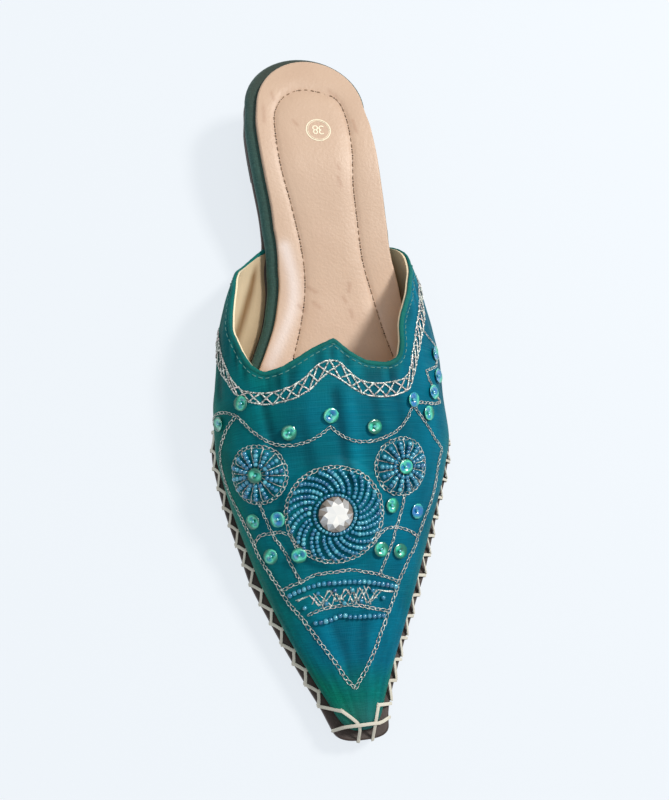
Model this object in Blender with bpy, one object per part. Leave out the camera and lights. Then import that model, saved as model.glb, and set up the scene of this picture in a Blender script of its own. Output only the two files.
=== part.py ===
"""A left mule: pointed silk slipper on a low heel, open at the back.

Stations run from the back of the heel (0) to the tip of the toe (shoe_length).  Across, x grows to
the outer side of a left foot.  In the world the toe points to -Y and the shoe stands on z = 0.
Every section is worked out from the driving dimensions and from short tables whose columns are
shares of them.
"""
import math

import bmesh
import bpy
import numpy as np

MM = 0.001

# Driving dimensions of the last
shoe_length = 263 * MM          # heel back to toe tip of the outsole
ball_width = 94.4 * MM          # outsole at its widest
heel_width = 52.2 * MM          # outsole at the heel seat
seat_height = 24.5 * MM         # underside of the outsole at the back of the heel
toe_spring = 6.8 * MM           # underside of the outsole at the toe tip
vamp_rise = 44.2 * MM           # top of the outsole to the crest at the throat

# Thicknesses and clearances
outsole_thickness = 3.2 * MM
footbed_thickness = 5.5 * MM
sock_thickness = 1.8 * MM
wall = 1.8 * MM                 # silk, canvas and leather lining together
top_lift_thickness = 4.0 * MM
fit_gap = 0.3 * MM              # between pieces that touch
lining_room = 1.4 * MM          # between the edge of the footbed and the lining
sole_margin = 3.3 * MM          # outsole beyond the upper at the forefoot
footbed_overhang = 0.3 * MM     # covered footbed beyond the outsole at the heel

# Rounded ends and edges
heel_round = 22 * MM            # reach of the half ellipse at the back of the heel
toe_round = 4.5 * MM            # reach of the corners of the blunt toe
vamp_round = 9 * MM             # reach of the upper's rounded front
outsole_edge = 0.7 * MM
footbed_edge = 2.2 * MM
sock_edge = 0.8 * MM

# The sock sits off centre on the footbed
sock_inner_margin = 4.1 * MM
sock_outer_margin = 1.3 * MM
sock_back_margin = 3.0 * MM
sock_toe_margin = 14 * MM

# Low covered heel
heel_breast = 50 * MM
heel_base_length = 41 * MM
heel_base_width = 41 * MM
heel_back_rake = 3.0 * MM
lift_edge = 0.5 * MM

# Beaded rosettes raised on the vamp, and the stone in the large one
rosette_radius = 20 * MM
small_rosette_radius = 10.5 * MM
rosette_relief = 1.5 * MM
rosette_ramp = 3.0 * MM
stone_radius = 6.3 * MM
stone_girdle = 1.2 * MM
stone_crown = 1.6 * MM
stone_seat = 0.45 * MM          # flat back of the stone above the top of the rosette

# Underside of the outsole: station as a share of shoe_length, height as a share of seat_height
HEEL_LINE = (
    # station, height
    (0.000, 1.00), (0.066, 0.96), (0.160, 0.86), (0.278, 0.51),
    (0.392, 0.18), (0.506, 0.016), (0.540, 0.0),
)
# The same towards the toe, height as a share of toe_spring
TOE_LINE = (
    # station, height
    (0.715, 0.0), (0.829, 0.18), (0.924, 0.56), (1.000, 1.0),
)
# Outline of the outsole: the middle as a share of ball_width, the half width as the sum of a share
# of heel_width and a share of ball_width
OUTLINE = (
    # station, middle, of heel_width, of ball_width
    (0.000, -0.007, 0.468, 0.000),
    (0.084, -0.007, 0.468, 0.000),
    (0.122, 0.001, 0.495, 0.000),
    (0.160, 0.012, 0.500, 0.000),
    (0.200, 0.025, 0.496, 0.000),
    (0.240, 0.040, 0.482, 0.004),
    (0.280, 0.051, 0.452, 0.022),
    (0.325, 0.063, 0.390, 0.088),
    (0.365, 0.074, 0.325, 0.141),
    (0.405, 0.073, 0.260, 0.199),
    (0.450, 0.056, 0.190, 0.266),
    (0.495, 0.037, 0.110, 0.352),
    (0.545, 0.021, 0.035, 0.455),
    (0.600, 0.023, 0.000, 0.500),
    (0.645, 0.016, 0.000, 0.477),
    (0.690, 0.004, 0.000, 0.439),
    (0.740, -0.003, 0.000, 0.394),
    (0.785, -0.011, 0.000, 0.353),
    (0.830, -0.015, 0.000, 0.296),
    (0.875, -0.018, 0.000, 0.237),
    (0.920, -0.017, 0.000, 0.178),
    (0.965, -0.013, 0.000, 0.122),
    (1.000, 0.000, 0.000, 0.095),
)
# How far the upper stands on the outsole's top, and how much of sole_margin is left outside it
SEATING = (
    # station, upper present, margin share
    (0.000, 0.0, 0.0), (0.255, 0.0, 0.0), (0.320, 1.0, 0.1),
    (0.450, 1.0, 0.1), (0.540, 1.0, 0.5), (0.600, 1.0, 1.0), (1.000, 1.0, 1.0),
)
# Sections of the upper: widest points and crest as shares of ball_width from the axis, heights
# above the outsole's top as shares of vamp_rise
SECTIONS = (
    # station, inner bulge, outer bulge, inner bulge height, outer bulge height, crest, crest height
    (0.274, -0.252, 0.346, 0.07, 0.07, -0.048, 0.40),
    (0.304, -0.295, 0.374, 0.18, 0.14, -0.048, 0.52),
    (0.335, -0.335, 0.399, 0.28, 0.18, -0.048, 0.63),
    (0.373, -0.382, 0.421, 0.40, 0.24, -0.048, 0.75),
    (0.411, -0.420, 0.433, 0.48, 0.29, -0.048, 0.86),
    (0.449, -0.446, 0.446, 0.49, 0.32, -0.048, 0.95),
    (0.494, -0.460, 0.460, 0.42, 0.32, -0.048, 1.00),
    (0.548, -0.476, 0.462, 0.34, 0.28, -0.045, 0.955),
    (0.600, -0.476, 0.471, 0.28, 0.25, -0.040, 0.85),
    (0.646, -0.453, 0.441, 0.25, 0.23, -0.036, 0.745),
    (0.738, -0.381, 0.343, 0.20, 0.19, -0.030, 0.57),
    (0.829, -0.288, 0.237, 0.16, 0.16, -0.023, 0.39),
    (0.920, -0.168, 0.122, 0.11, 0.11, -0.017, 0.23),
    (0.966, -0.101, 0.071, 0.09, 0.09, -0.011, 0.17),
    (1.000, -0.070, 0.050, 0.09, 0.09, -0.008, 0.16),
)
# The collar line, from the peak on the crest out to the rear end of each quarter: girth 0 is the
# crest and 1 the bottom edge
COLLAR_INNER = (
    # girth, station
    (0.000, 0.492), (0.090, 0.504), (0.170, 0.517), (0.235, 0.525), (0.295, 0.527), (0.350, 0.519),
    (0.420, 0.497), (0.475, 0.473), (0.520, 0.453), (0.535, 0.430), (0.575, 0.391), (0.640, 0.370),
    (0.720, 0.351), (0.800, 0.336), (0.880, 0.321), (0.950, 0.308), (1.000, 0.300),
)
COLLAR_OUTER = (
    # girth, station
    (0.000, 0.492), (0.065, 0.513), (0.120, 0.522), (0.177, 0.523), (0.222, 0.518), (0.250, 0.509),
    (0.264, 0.495), (0.272, 0.476), (0.295, 0.453), (0.340, 0.429), (0.400, 0.402), (0.450, 0.378),
    (0.520, 0.355), (0.600, 0.331), (0.700, 0.312), (0.820, 0.300), (0.920, 0.294), (1.000, 0.291),
)
# Centres of the rosettes: station as a share of shoe_length, across as a share of ball_width
ROSETTES = (
    # station, across, radius
    (0.713, -0.075, rosette_radius),
    (0.653, -0.340, small_rosette_radius),
    (0.656, 0.199, small_rosette_radius),
)

# Levels of the heel block's rings: 0 under the seat, 1 at the top lift
HEEL_LEVELS = (1.0, 0.8, 0.55, 0.3, 0.12, 0.0)

# Character of the curves
heel_hollow = 1.7               # power of the heel's inward curve, 1 is straight
bulge_girth = 0.72              # share of the girth from the crest down to the widest point
tuck_angle = math.radians(62)   # how far the wall turns under from the widest point
vamp_plan_power = 2.8           # how square the front of the upper is in plan, 2 is an ellipse
vamp_side_power = 2.6           # the same in side view
stone_table = 0.55              # flat top of the stone as a share of its radius

# How finely the pieces are divided
outline_steps = 34
outline_end_steps = 7
sock_steps = 28
footbed_edge_steps = 7
heel_back_steps = 9
heel_side_steps = 6
upper_columns = 45
upper_front_rows = 6
upper_rows = 34
stone_sides = 12
search_steps = 721


def curve_through(rows, column, at):
    """A smooth curve through one column of a table, which never swings past its rows."""
    rows = np.asarray(rows, float)
    xs, ys = rows[:, 0], rows[:, column]
    step = np.diff(xs)
    slope = np.diff(ys) / step
    same_way = slope[:-1] * slope[1:] > 0
    before = np.where(same_way, slope[:-1], 1.0)
    after = np.where(same_way, slope[1:], 1.0)
    w1 = 2 * step[1:] + step[:-1]
    w2 = step[1:] + 2 * step[:-1]
    tangent = np.empty_like(xs)
    tangent[1:-1] = np.where(same_way, (w1 + w2) / (w1 / before + w2 / after), 0.0)
    tangent[0], tangent[-1] = slope[0], slope[-1]
    x = np.clip(np.asarray(at, float), xs[0], xs[-1])
    i = np.clip(np.searchsorted(xs, x, side="right") - 1, 0, len(step) - 1)
    t = (x - xs[i]) / step[i]
    return ((1 + 2 * t) * (1 - t) ** 2 * ys[i] + t * (1 - t) ** 2 * step[i] * tangent[i]
            + t * t * (3 - 2 * t) * ys[i + 1] + t * t * (t - 1) * step[i] * tangent[i + 1])


def sole_height(station):
    """Height of the outsole's underside."""
    share = np.asarray(station) / shoe_length
    return seat_height * curve_through(HEEL_LINE, 1, share) + toe_spring * curve_through(TOE_LINE, 1, share)


def middle(station):
    return ball_width * curve_through(OUTLINE, 1, np.asarray(station) / shoe_length)


def outsole_half(station):
    share = np.asarray(station) / shoe_length
    return heel_width * curve_through(OUTLINE, 2, share) + ball_width * curve_through(OUTLINE, 3, share)


def feather_half(station):
    """Half width of the line where the outside of the upper meets the outsole."""
    return outsole_half(station) - sole_margin * curve_through(SEATING, 2, np.asarray(station) / shoe_length)


def footbed_half(station):
    present = curve_through(SEATING, 1, np.asarray(station) / shoe_length)
    return feather_half(station) - present * (wall + lining_room) + (1 - present) * footbed_overhang


upper_front = shoe_length - sole_margin
footbed_front = upper_front - wall - lining_room - toe_round / 2
upper_seat = outsole_thickness + fit_gap
footbed_low = outsole_thickness + fit_gap
footbed_high = footbed_low + footbed_thickness
sock_low = footbed_high + fit_gap
sock_high = sock_low + sock_thickness


def outline_ring(back, front, half, lift, inset=0.0, side_steps=outline_steps, shift=0.0,
                 end_steps=outline_end_steps):
    """A closed ring: the outline drawn in by inset and lifted above the sole's underside."""
    turn = np.linspace(0, np.pi / 2, end_steps)
    heel_end = back + inset + (heel_round - inset) * (1 - np.cos(turn))
    toe_end = front - inset - toe_round * (1 - np.sin(turn))
    sides = np.linspace(heel_end[-1], toe_end[0], side_steps + 1)[1:-1]
    station = np.concatenate([heel_end, sides, toe_end])
    heel_way = np.clip((heel_end[-1] - station) / (heel_round - inset), 0, 1)
    toe_way = np.clip((station - toe_end[0]) / toe_round, 0, 1)
    reach = (half(station) - inset) * np.sqrt(1 - heel_way ** 2) * np.cbrt(1 - toe_way ** 3)
    z = sole_height(station) + lift
    mid = middle(station) + shift
    inner = np.column_stack([mid - reach, station, z])
    outer = np.column_stack([mid + reach, station, z])
    return np.concatenate([inner, outer[-2:0:-1]]), len(station)


def loft(name, rings, strip, colour, roughness):
    """A solid through closed rings, capped by strips that run from side to side.

    A ring runs up the inner side, strip points long, and back down the outer side.  Both sides share
    the first point, and the last one too where the outline closes at the front.
    """
    rings = np.asarray(rings)
    count = rings.shape[1]
    index = np.arange(rings.shape[0] * count).reshape(rings.shape[:2])
    following = np.roll(index, -1, axis=1)
    sides = np.stack([index[:-1], following[:-1], following[1:], index[1:]], -1).reshape(-1, 4)
    faces = [tuple(row) for row in sides]
    for ring in (index[0], index[-1]):
        inner = ring[:strip]
        outer = np.concatenate([ring[:1], ring[strip:][::-1], ring[strip - 1:strip]])[:strip]
        for i in range(strip - 1):
            corners = dict.fromkeys(int(v) for v in (inner[i], inner[i + 1], outer[i + 1], outer[i]))
            faces.append(tuple(corners))
    return add_solid(name, rings.reshape(-1, 3), faces, colour, roughness)


def add_solid(name, points, faces, colour, roughness):
    """One closed piece with its material.  Points are (across, station, up); stations turn into -Y."""
    world = points * np.array([1.0, -1.0, 1.0])
    mesh = bpy.data.meshes.new(name)
    mesh.from_pydata(world.tolist(), [], [tuple(int(v) for v in face) for face in faces])
    outward = bmesh.new()
    outward.from_mesh(mesh)
    bmesh.ops.recalc_face_normals(outward, faces=outward.faces)
    outward.to_mesh(mesh)
    outward.free()
    mesh.shade_smooth()
    mesh.set_sharp_from_angle(angle=math.radians(40))
    solid = bpy.data.objects.new(name, mesh)
    parts.objects.link(solid)
    material = bpy.data.materials.new(name)
    material.use_nodes = True
    shader = material.node_tree.nodes["Principled BSDF"]
    shader.inputs["Base Color"].default_value = (*colour, 1.0)
    shader.inputs["Roughness"].default_value = roughness
    mesh.materials.append(material)
    return solid


def outsole():
    """Brown leather sole from the heel seat to the blunt toe, with slightly broken edges."""
    rings = []
    for lift, inset in ((0.0, outsole_edge), (outsole_edge, 0.0),
                        (outsole_thickness - outsole_edge, 0.0), (outsole_thickness, outsole_edge)):
        ring, strip = outline_ring(0.0, shoe_length, outsole_half, lift, inset)
        rings.append(ring)
    return loft("outsole", rings, strip, (0.045, 0.025, 0.018), 0.6)


def footbed():
    """Board wrapped in green cloth, its edge nearly half round."""
    rings = []
    for turn in np.linspace(0, np.pi, footbed_edge_steps):
        lift = footbed_low + footbed_thickness * (1 - math.cos(turn)) / 2
        inset = footbed_edge * (1 - math.sin(turn))
        ring, strip = outline_ring(-footbed_overhang, footbed_front, footbed_half, lift, inset)
        rings.append(ring)
    return loft("footbed", rings, strip, (0.025, 0.105, 0.095), 0.75)


def insole_sock():
    """Peach leather sock, set nearer to the outer side of the footbed."""
    margin = (sock_inner_margin + sock_outer_margin) / 2
    shift = (sock_inner_margin - sock_outer_margin) / 2

    def sock_half(station):
        return footbed_half(station) - margin

    rings = []
    for lift, inset in ((sock_low, 0.0), (sock_high - sock_edge, 0.0), (sock_high, sock_edge)):
        ring, strip = outline_ring(sock_back_margin, footbed_front - sock_toe_margin, sock_half,
                                   lift, inset, sock_steps, shift)
        rings.append(ring)
    return loft("insole_sock", rings, strip, (0.73, 0.50, 0.37), 0.5)


def heel_ring(narrowing, down, inset=0.0):
    """Ring of the heel block, round at the back and straight across the breast.

    Down is 0 under the seat and 1 at the top lift; narrowing is how much of the way the outline has
    shrunk from the seat's to the top lift's.
    """
    back = heel_round * (1 - np.cos(np.linspace(0, np.pi / 2, heel_back_steps)))
    station = np.concatenate([back, np.linspace(heel_round, heel_breast, heel_side_steps)[1:]])
    to_round = np.clip(1 - station / heel_round, 0, 1)
    width = 1 + (heel_base_width / heel_width - 1) * narrowing
    length = 1 + (heel_base_length / heel_breast - 1) * narrowing
    reach = outsole_half(station) * np.sqrt(1 - to_round ** 2) * width
    reach = np.maximum(reach - inset, 0)
    along = heel_back_rake * narrowing + station * length
    along = np.clip(along, along[0] + inset, along[-1] - inset)
    seat = sole_height(station) - fit_gap
    z = seat + (top_lift_thickness + fit_gap - seat) * down
    inner = np.column_stack([middle(station) - reach, along, z])
    outer = np.column_stack([middle(station) + reach, along, z])
    return np.concatenate([inner, outer[:0:-1]]), len(station)


def heel():
    """Low heel covered in the same green cloth, hollowed a little between seat and top lift."""
    rings = []
    for down in HEEL_LEVELS:
        ring, strip = heel_ring(1 - (1 - down) ** heel_hollow, down)
        rings.append(ring)
    return loft("heel", rings, strip, (0.025, 0.105, 0.095), 0.75)


def top_lift():
    """Flat rubber piece that the heel stands on."""
    rings = []
    for height, inset in ((0.0, lift_edge), (lift_edge, 0.0), (top_lift_thickness, 0.0)):
        ring, strip = heel_ring(1.0, 1.0, inset)
        ring[:, 2] = height
        rings.append(ring)
    return loft("top_lift", rings, strip, (0.03, 0.022, 0.018), 0.7)


def upper_surface(girth, station, inset=0.0):
    """A point of the upper: girth -1 is the inner bottom edge, 0 the crest, 1 the outer bottom edge.

    From the crest to the widest point the section is a quarter ellipse, and from there it turns
    under to the outsole.  Towards the front both width and height close on a rounded end.
    """
    girth, station = np.broadcast_arrays(np.asarray(girth, float), np.asarray(station, float))
    front = upper_front - inset
    station = np.minimum(station, front)
    share = station / shoe_length
    inner = girth < 0
    side = np.where(inner, -1.0, 1.0)
    mid = middle(station)
    feather = mid + side * (feather_half(station) - inset)
    bulge = ball_width * np.where(inner, curve_through(SECTIONS, 1, share),
                                  curve_through(SECTIONS, 2, share))
    bulge = bulge - side * inset
    seat = sole_height(station) + upper_seat
    bulge_rise = vamp_rise * np.where(inner, curve_through(SECTIONS, 3, share),
                                      curve_through(SECTIONS, 4, share))
    crest = ball_width * curve_through(SECTIONS, 5, share)
    crest_rise = vamp_rise * curve_through(SECTIONS, 6, share) - inset
    down = np.abs(girth)
    turn = np.pi / 2 * (1 - np.clip(down / bulge_girth, 0, 1))
    tuck = tuck_angle * np.clip((down - bulge_girth) / (1 - bulge_girth), 0, 1)
    over = down <= bulge_girth
    x = np.where(over, crest + (bulge - crest) * np.cos(turn),
                 feather + (bulge - feather) * (np.cos(tuck) - np.cos(tuck_angle)) / (1 - np.cos(tuck_angle)))
    rise = np.where(over, bulge_rise + (crest_rise - bulge_rise) * np.sin(turn),
                    bulge_rise * (1 - np.sin(tuck) / np.sin(tuck_angle)))
    close = np.clip((station - (front - vamp_round)) / vamp_round, 0, 1)
    x = mid + (x - mid) * (1 - close ** vamp_plan_power) ** (1 / vamp_plan_power)
    rise = rise * (1 - close ** vamp_side_power) ** (1 / vamp_side_power)
    return np.stack([x, station, seat + rise], -1)


def collar_station(girth):
    return shoe_length * np.where(girth < 0, curve_through(COLLAR_INNER, 1, -girth),
                                  curve_through(COLLAR_OUTER, 1, girth))


def upper_grid(inset, columns=upper_columns, front_rows=upper_front_rows, rows=upper_rows):
    """The whole sheet from the closed front to the collar, as rows of girth columns."""
    girth = np.linspace(-1, 1, columns)
    front = upper_front - inset
    closing = front - vamp_round * (1 - np.cos(np.linspace(0, np.pi / 2, front_rows)))
    along = np.linspace(0, 1, rows + 1)[1:, None]
    collar = collar_station(girth)[None, :]
    station = np.concatenate([np.repeat(closing[:, None], columns, 1),
                              closing[-1] + (collar - closing[-1]) * along])
    return upper_surface(np.broadcast_to(girth, station.shape), station, inset)


def surface_normal(grid):
    """Unit normals of a grid of points, pointing out of the shoe."""
    across = np.gradient(grid, axis=1)
    along = np.gradient(grid, axis=0)
    normal = np.cross(across, along)
    length = np.linalg.norm(normal, axis=-1, keepdims=True)
    normal = normal / np.maximum(length, 1e-12)
    return normal * np.where(np.mean(normal[..., 2]) < 0, -1.0, 1.0)


def rosette_height(grid):
    """How far the beadwork lifts the outside of the upper."""
    lift = np.zeros(grid.shape[:2])
    for station, across, radius in ROSETTES:
        centre = rosette_centre(station, across)
        away = np.linalg.norm(grid - centre, axis=-1)
        ramp = np.clip((radius - away) / rosette_ramp, 0, 1)
        lift = np.maximum(lift, rosette_relief * ramp * ramp * (3 - 2 * ramp))
    return lift


def rosette_centre(station, across):
    """The point of the plain surface over a place given in plan."""
    girth = np.linspace(-bulge_girth, bulge_girth, search_steps)
    line = upper_surface(girth, np.full(girth.shape, station * shoe_length))
    return line[np.argmin(np.abs(line[:, 0] - across * ball_width))]


def upper():
    """Silk upper as one hollow wall, open at the collar and underneath, rosettes raised on it."""
    outside = upper_grid(0.0)
    outside = outside + surface_normal(outside) * rosette_height(outside)[..., None]
    inside = upper_grid(wall)
    rows, columns = outside.shape[:2]
    outside_index = np.arange(rows * columns).reshape(rows, columns)
    outside_index[0] = outside_index[0, 0]
    inside_index = outside_index + rows * columns
    faces = []

    def quads(a, b, c, d):
        for quad in zip(a.ravel(), b.ravel(), c.ravel(), d.ravel()):
            corners = tuple(dict.fromkeys(int(v) for v in quad))
            if len(corners) > 2:
                faces.append(corners)

    for index, flip in ((outside_index, False), (inside_index, True)):
        a, b, c, d = index[:-1, :-1], index[:-1, 1:], index[1:, 1:], index[1:, :-1]
        quads(d, c, b, a) if flip else quads(a, b, c, d)
    quads(outside_index[-1, :-1], outside_index[-1, 1:], inside_index[-1, 1:], inside_index[-1, :-1])
    quads(outside_index[1:, 0], inside_index[1:, 0], inside_index[:-1, 0], outside_index[:-1, 0])
    quads(outside_index[:-1, -1], inside_index[:-1, -1], inside_index[1:, -1], outside_index[1:, -1])
    points = np.concatenate([outside.reshape(-1, 3), inside.reshape(-1, 3)])
    used = np.unique(np.concatenate([np.array(face) for face in faces]))
    renumber = {int(old): new for new, old in enumerate(used)}
    faces = [tuple(renumber[v] for v in face) for face in faces]
    return add_solid("upper", points[used], faces, (0.0, 0.155, 0.185), 0.55)


def centre_stone():
    """Round stone with a flat back in the middle of the large rosette."""
    station, across, _ = ROSETTES[0]
    centre = rosette_centre(station, across)
    ahead = rosette_centre(station + stone_radius / shoe_length, across)
    sideways = rosette_centre(station, across + stone_radius / ball_width) - centre
    normal = np.cross(sideways, ahead - centre)
    normal = normal / np.linalg.norm(normal) * np.sign(normal[2])
    sideways = sideways / np.linalg.norm(sideways)
    forward = np.cross(normal, sideways)
    base = centre + normal * (rosette_relief + stone_seat)
    around = np.linspace(0, 2 * np.pi, stone_sides, endpoint=False)
    rings = []
    for radius, height in ((stone_radius, 0.0), (stone_radius, stone_girdle),
                           (stone_radius * stone_table, stone_girdle + stone_crown)):
        rings.append(base + normal * height + radius * (np.cos(around)[:, None] * sideways
                                                        + np.sin(around)[:, None] * forward))
    rings = np.array(rings)
    count = len(around)
    index = np.arange(3 * count).reshape(3, count)
    following = np.roll(index, -1, axis=1)
    faces = [tuple(row) for row in
             np.stack([index[:-1], following[:-1], following[1:], index[1:]], -1).reshape(-1, 4)]
    faces += [tuple(index[0][::-1]), tuple(index[-1])]
    return add_solid("centre_stone", rings.reshape(-1, 3), faces, (0.75, 0.78, 0.8), 0.1)


for old in list(bpy.data.objects):
    bpy.data.objects.remove(old, do_unlink=True)
parts = bpy.data.collections.new("mule")
bpy.context.scene.collection.children.link(parts)

solids = [outsole(), footbed(), insole_sock(), heel(), top_lift(), upper(), centre_stone()]

# The origin lies on the ground in the middle of the whole shoe
corners = np.array([vertex.co for piece in solids for vertex in piece.data.vertices])
low, high = corners.min(axis=0), corners.max(axis=0)
shoe = bpy.data.objects.new("shoe_axis", None)
parts.objects.link(shoe)
shoe.location = (-(low[0] + high[0]) / 2, -(low[1] + high[1]) / 2, -low[2])
for piece in solids:
    piece.parent = shoe
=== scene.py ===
# %% [markdown]
# # A beaded silk mule
#
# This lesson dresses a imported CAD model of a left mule: silk on the upper, leather and cloth on the
# sole, and the handwork that makes the shoe, which is thread, beads, sequins and a whipped lace.
# The CAD model stays where it is.  Every new piece is worked out as arrays of points with numpy from
# the same shape functions that the CAD part was made with, so it lies exactly on its carrier.

# %% Load the frame
import math

import bmesh
import bpy
import numpy as np
from mathutils import Matrix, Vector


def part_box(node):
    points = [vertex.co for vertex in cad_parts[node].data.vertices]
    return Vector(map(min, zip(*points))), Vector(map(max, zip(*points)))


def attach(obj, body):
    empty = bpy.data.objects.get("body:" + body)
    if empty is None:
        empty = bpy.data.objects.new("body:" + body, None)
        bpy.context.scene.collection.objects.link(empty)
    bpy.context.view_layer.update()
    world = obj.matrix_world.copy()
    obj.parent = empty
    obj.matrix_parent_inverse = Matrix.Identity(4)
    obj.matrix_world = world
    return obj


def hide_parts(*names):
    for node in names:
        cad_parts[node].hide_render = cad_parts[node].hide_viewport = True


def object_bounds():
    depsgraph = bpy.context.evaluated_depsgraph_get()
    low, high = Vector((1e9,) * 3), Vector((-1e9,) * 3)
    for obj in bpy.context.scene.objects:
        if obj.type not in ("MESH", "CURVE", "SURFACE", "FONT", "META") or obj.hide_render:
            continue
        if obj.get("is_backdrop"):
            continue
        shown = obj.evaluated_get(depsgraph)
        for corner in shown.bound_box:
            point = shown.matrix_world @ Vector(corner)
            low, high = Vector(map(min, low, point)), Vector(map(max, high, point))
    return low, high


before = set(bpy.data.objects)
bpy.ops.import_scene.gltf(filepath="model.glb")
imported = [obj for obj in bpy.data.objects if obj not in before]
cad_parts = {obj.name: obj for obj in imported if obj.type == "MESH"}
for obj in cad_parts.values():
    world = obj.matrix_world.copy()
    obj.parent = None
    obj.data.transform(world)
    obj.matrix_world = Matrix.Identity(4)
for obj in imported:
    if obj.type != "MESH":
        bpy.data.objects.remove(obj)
cad_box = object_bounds()
MM = 0.001
chance = np.random.default_rng(38)
print("CAD nodes:", ", ".join(sorted(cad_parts)))

# %% [markdown]
# ## The last
#
# A shoe is built on a last, so the last is what all pieces share.  Its sizes stand first, each with
# its name.  They could be measured again on the CAD model, but the same names and numbers as in its
# source show at once what belongs to what.  Lengths are in metres, and MM turns them from mm.

# %% Sizes of the shoe
shoe_length, ball_width, heel_width = 263 * MM, 94.4 * MM, 52.2 * MM
seat_height, toe_spring, vamp_rise = 24.5 * MM, 6.8 * MM, 44.2 * MM
outsole_thickness, footbed_thickness, sock_thickness = 3.2 * MM, 5.5 * MM, 1.8 * MM
wall, top_lift_thickness, fit_gap, lining_room = 1.8 * MM, 4.0 * MM, 0.3 * MM, 1.4 * MM
sole_margin, footbed_overhang = 3.3 * MM, 0.3 * MM
heel_round, toe_round, vamp_round = 22 * MM, 4.5 * MM, 9 * MM
footbed_edge = 2.2 * MM
sock_inner_margin, sock_outer_margin = 4.1 * MM, 1.3 * MM
sock_back_margin, sock_toe_margin = 3.0 * MM, 14 * MM
heel_breast, heel_base_length, heel_base_width, heel_back_rake = 50 * MM, 41 * MM, 41 * MM, 3 * MM
heel_hollow, lift_edge = 1.7, 0.5 * MM
rosette_radius, small_rosette_radius = 20 * MM, 10.5 * MM
rosette_relief, rosette_ramp = 1.5 * MM, 3.0 * MM
stone_radius, stone_seat = 6.3 * MM, 0.45 * MM
bulge_girth, tuck_angle = 0.72, math.radians(62)
vamp_plan_power, vamp_side_power = 2.8, 2.6
print(f"shoe {shoe_length / MM:.0f} mm long, {ball_width / MM:.1f} mm wide at the ball")

# %% [markdown]
# ## Tables along the foot
#
# A last maker notes measures at stations along the foot.  Each row here is a station, as a share of
# the shoe's length, and beside it a width or a height as a share of a named size.  The collar's
# rows are girths.  Few rows are enough, because a smooth curve runs through each column, and the
# tables are those of the CAD part, so both models have one shape.

# %% Tables of the last
HEEL_LINE = (  # station, height of the outsole's underside as a share of seat_height
    (0.000, 1.00), (0.066, 0.96), (0.160, 0.86), (0.278, 0.51),
    (0.392, 0.18), (0.506, 0.016), (0.540, 0.0),
)
TOE_LINE = (  # station, height as a share of toe_spring
    (0.715, 0.0), (0.829, 0.18), (0.924, 0.56), (1.000, 1.0),
)
OUTLINE = (  # station, middle, half width as a share of heel_width, and of ball_width
    (0.000, -0.007, 0.468, 0.000), (0.084, -0.007, 0.468, 0.000), (0.122, 0.001, 0.495, 0.000),
    (0.160, 0.012, 0.500, 0.000), (0.200, 0.025, 0.496, 0.000), (0.240, 0.040, 0.482, 0.004),
    (0.280, 0.051, 0.452, 0.022), (0.325, 0.063, 0.390, 0.088), (0.365, 0.074, 0.325, 0.141),
    (0.405, 0.073, 0.260, 0.199), (0.450, 0.056, 0.190, 0.266), (0.495, 0.037, 0.110, 0.352),
    (0.545, 0.021, 0.035, 0.455), (0.600, 0.023, 0.000, 0.500), (0.645, 0.016, 0.000, 0.477),
    (0.690, 0.004, 0.000, 0.439), (0.740, -0.003, 0.000, 0.394), (0.785, -0.011, 0.000, 0.353),
    (0.830, -0.015, 0.000, 0.296), (0.875, -0.018, 0.000, 0.237), (0.920, -0.017, 0.000, 0.178),
    (0.965, -0.013, 0.000, 0.122), (1.000, 0.000, 0.000, 0.095),
)
SEATING = (  # station, upper present, share of sole_margin left outside it
    (0.000, 0.0, 0.0), (0.255, 0.0, 0.0), (0.320, 1.0, 0.1),
    (0.450, 1.0, 0.1), (0.540, 1.0, 0.5), (0.600, 1.0, 1.0), (1.000, 1.0, 1.0),
)
SECTIONS = (  # station, inner and outer bulge, their heights, crest, crest height
    (0.274, -0.252, 0.346, 0.07, 0.07, -0.048, 0.40), (0.304, -0.295, 0.374, 0.18, 0.14, -0.048, 0.52),
    (0.335, -0.335, 0.399, 0.28, 0.18, -0.048, 0.63), (0.373, -0.382, 0.421, 0.40, 0.24, -0.048, 0.75),
    (0.411, -0.420, 0.433, 0.48, 0.29, -0.048, 0.86), (0.449, -0.446, 0.446, 0.49, 0.32, -0.048, 0.95),
    (0.494, -0.460, 0.460, 0.42, 0.32, -0.048, 1.00), (0.548, -0.476, 0.462, 0.34, 0.28, -0.045, 0.955),
    (0.600, -0.476, 0.471, 0.28, 0.25, -0.040, 0.85), (0.646, -0.453, 0.441, 0.25, 0.23, -0.036, 0.745),
    (0.738, -0.381, 0.343, 0.20, 0.19, -0.030, 0.57), (0.829, -0.288, 0.237, 0.16, 0.16, -0.023, 0.39),
    (0.920, -0.168, 0.122, 0.11, 0.11, -0.017, 0.23), (0.966, -0.101, 0.071, 0.09, 0.09, -0.011, 0.17),
    (1.000, -0.070, 0.050, 0.09, 0.09, -0.008, 0.16),
)
COLLAR_INNER = (  # girth, station
    (0.000, 0.492), (0.090, 0.504), (0.170, 0.517), (0.235, 0.525), (0.295, 0.527), (0.350, 0.519),
    (0.420, 0.497), (0.475, 0.473), (0.520, 0.453), (0.535, 0.430), (0.575, 0.391), (0.640, 0.370),
    (0.720, 0.351), (0.800, 0.3345), (0.880, 0.3165), (0.950, 0.3025), (1.000, 0.295),
)
COLLAR_OUTER = (  # girth, station
    (0.000, 0.492), (0.065, 0.513), (0.120, 0.522), (0.177, 0.523), (0.222, 0.518), (0.250, 0.509),
    (0.264, 0.495), (0.272, 0.476), (0.295, 0.453), (0.340, 0.429), (0.400, 0.402), (0.450, 0.378),
    (0.520, 0.355), (0.600, 0.331), (0.700, 0.312), (0.820, 0.300), (0.920, 0.294), (1.000, 0.291),
)
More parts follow.
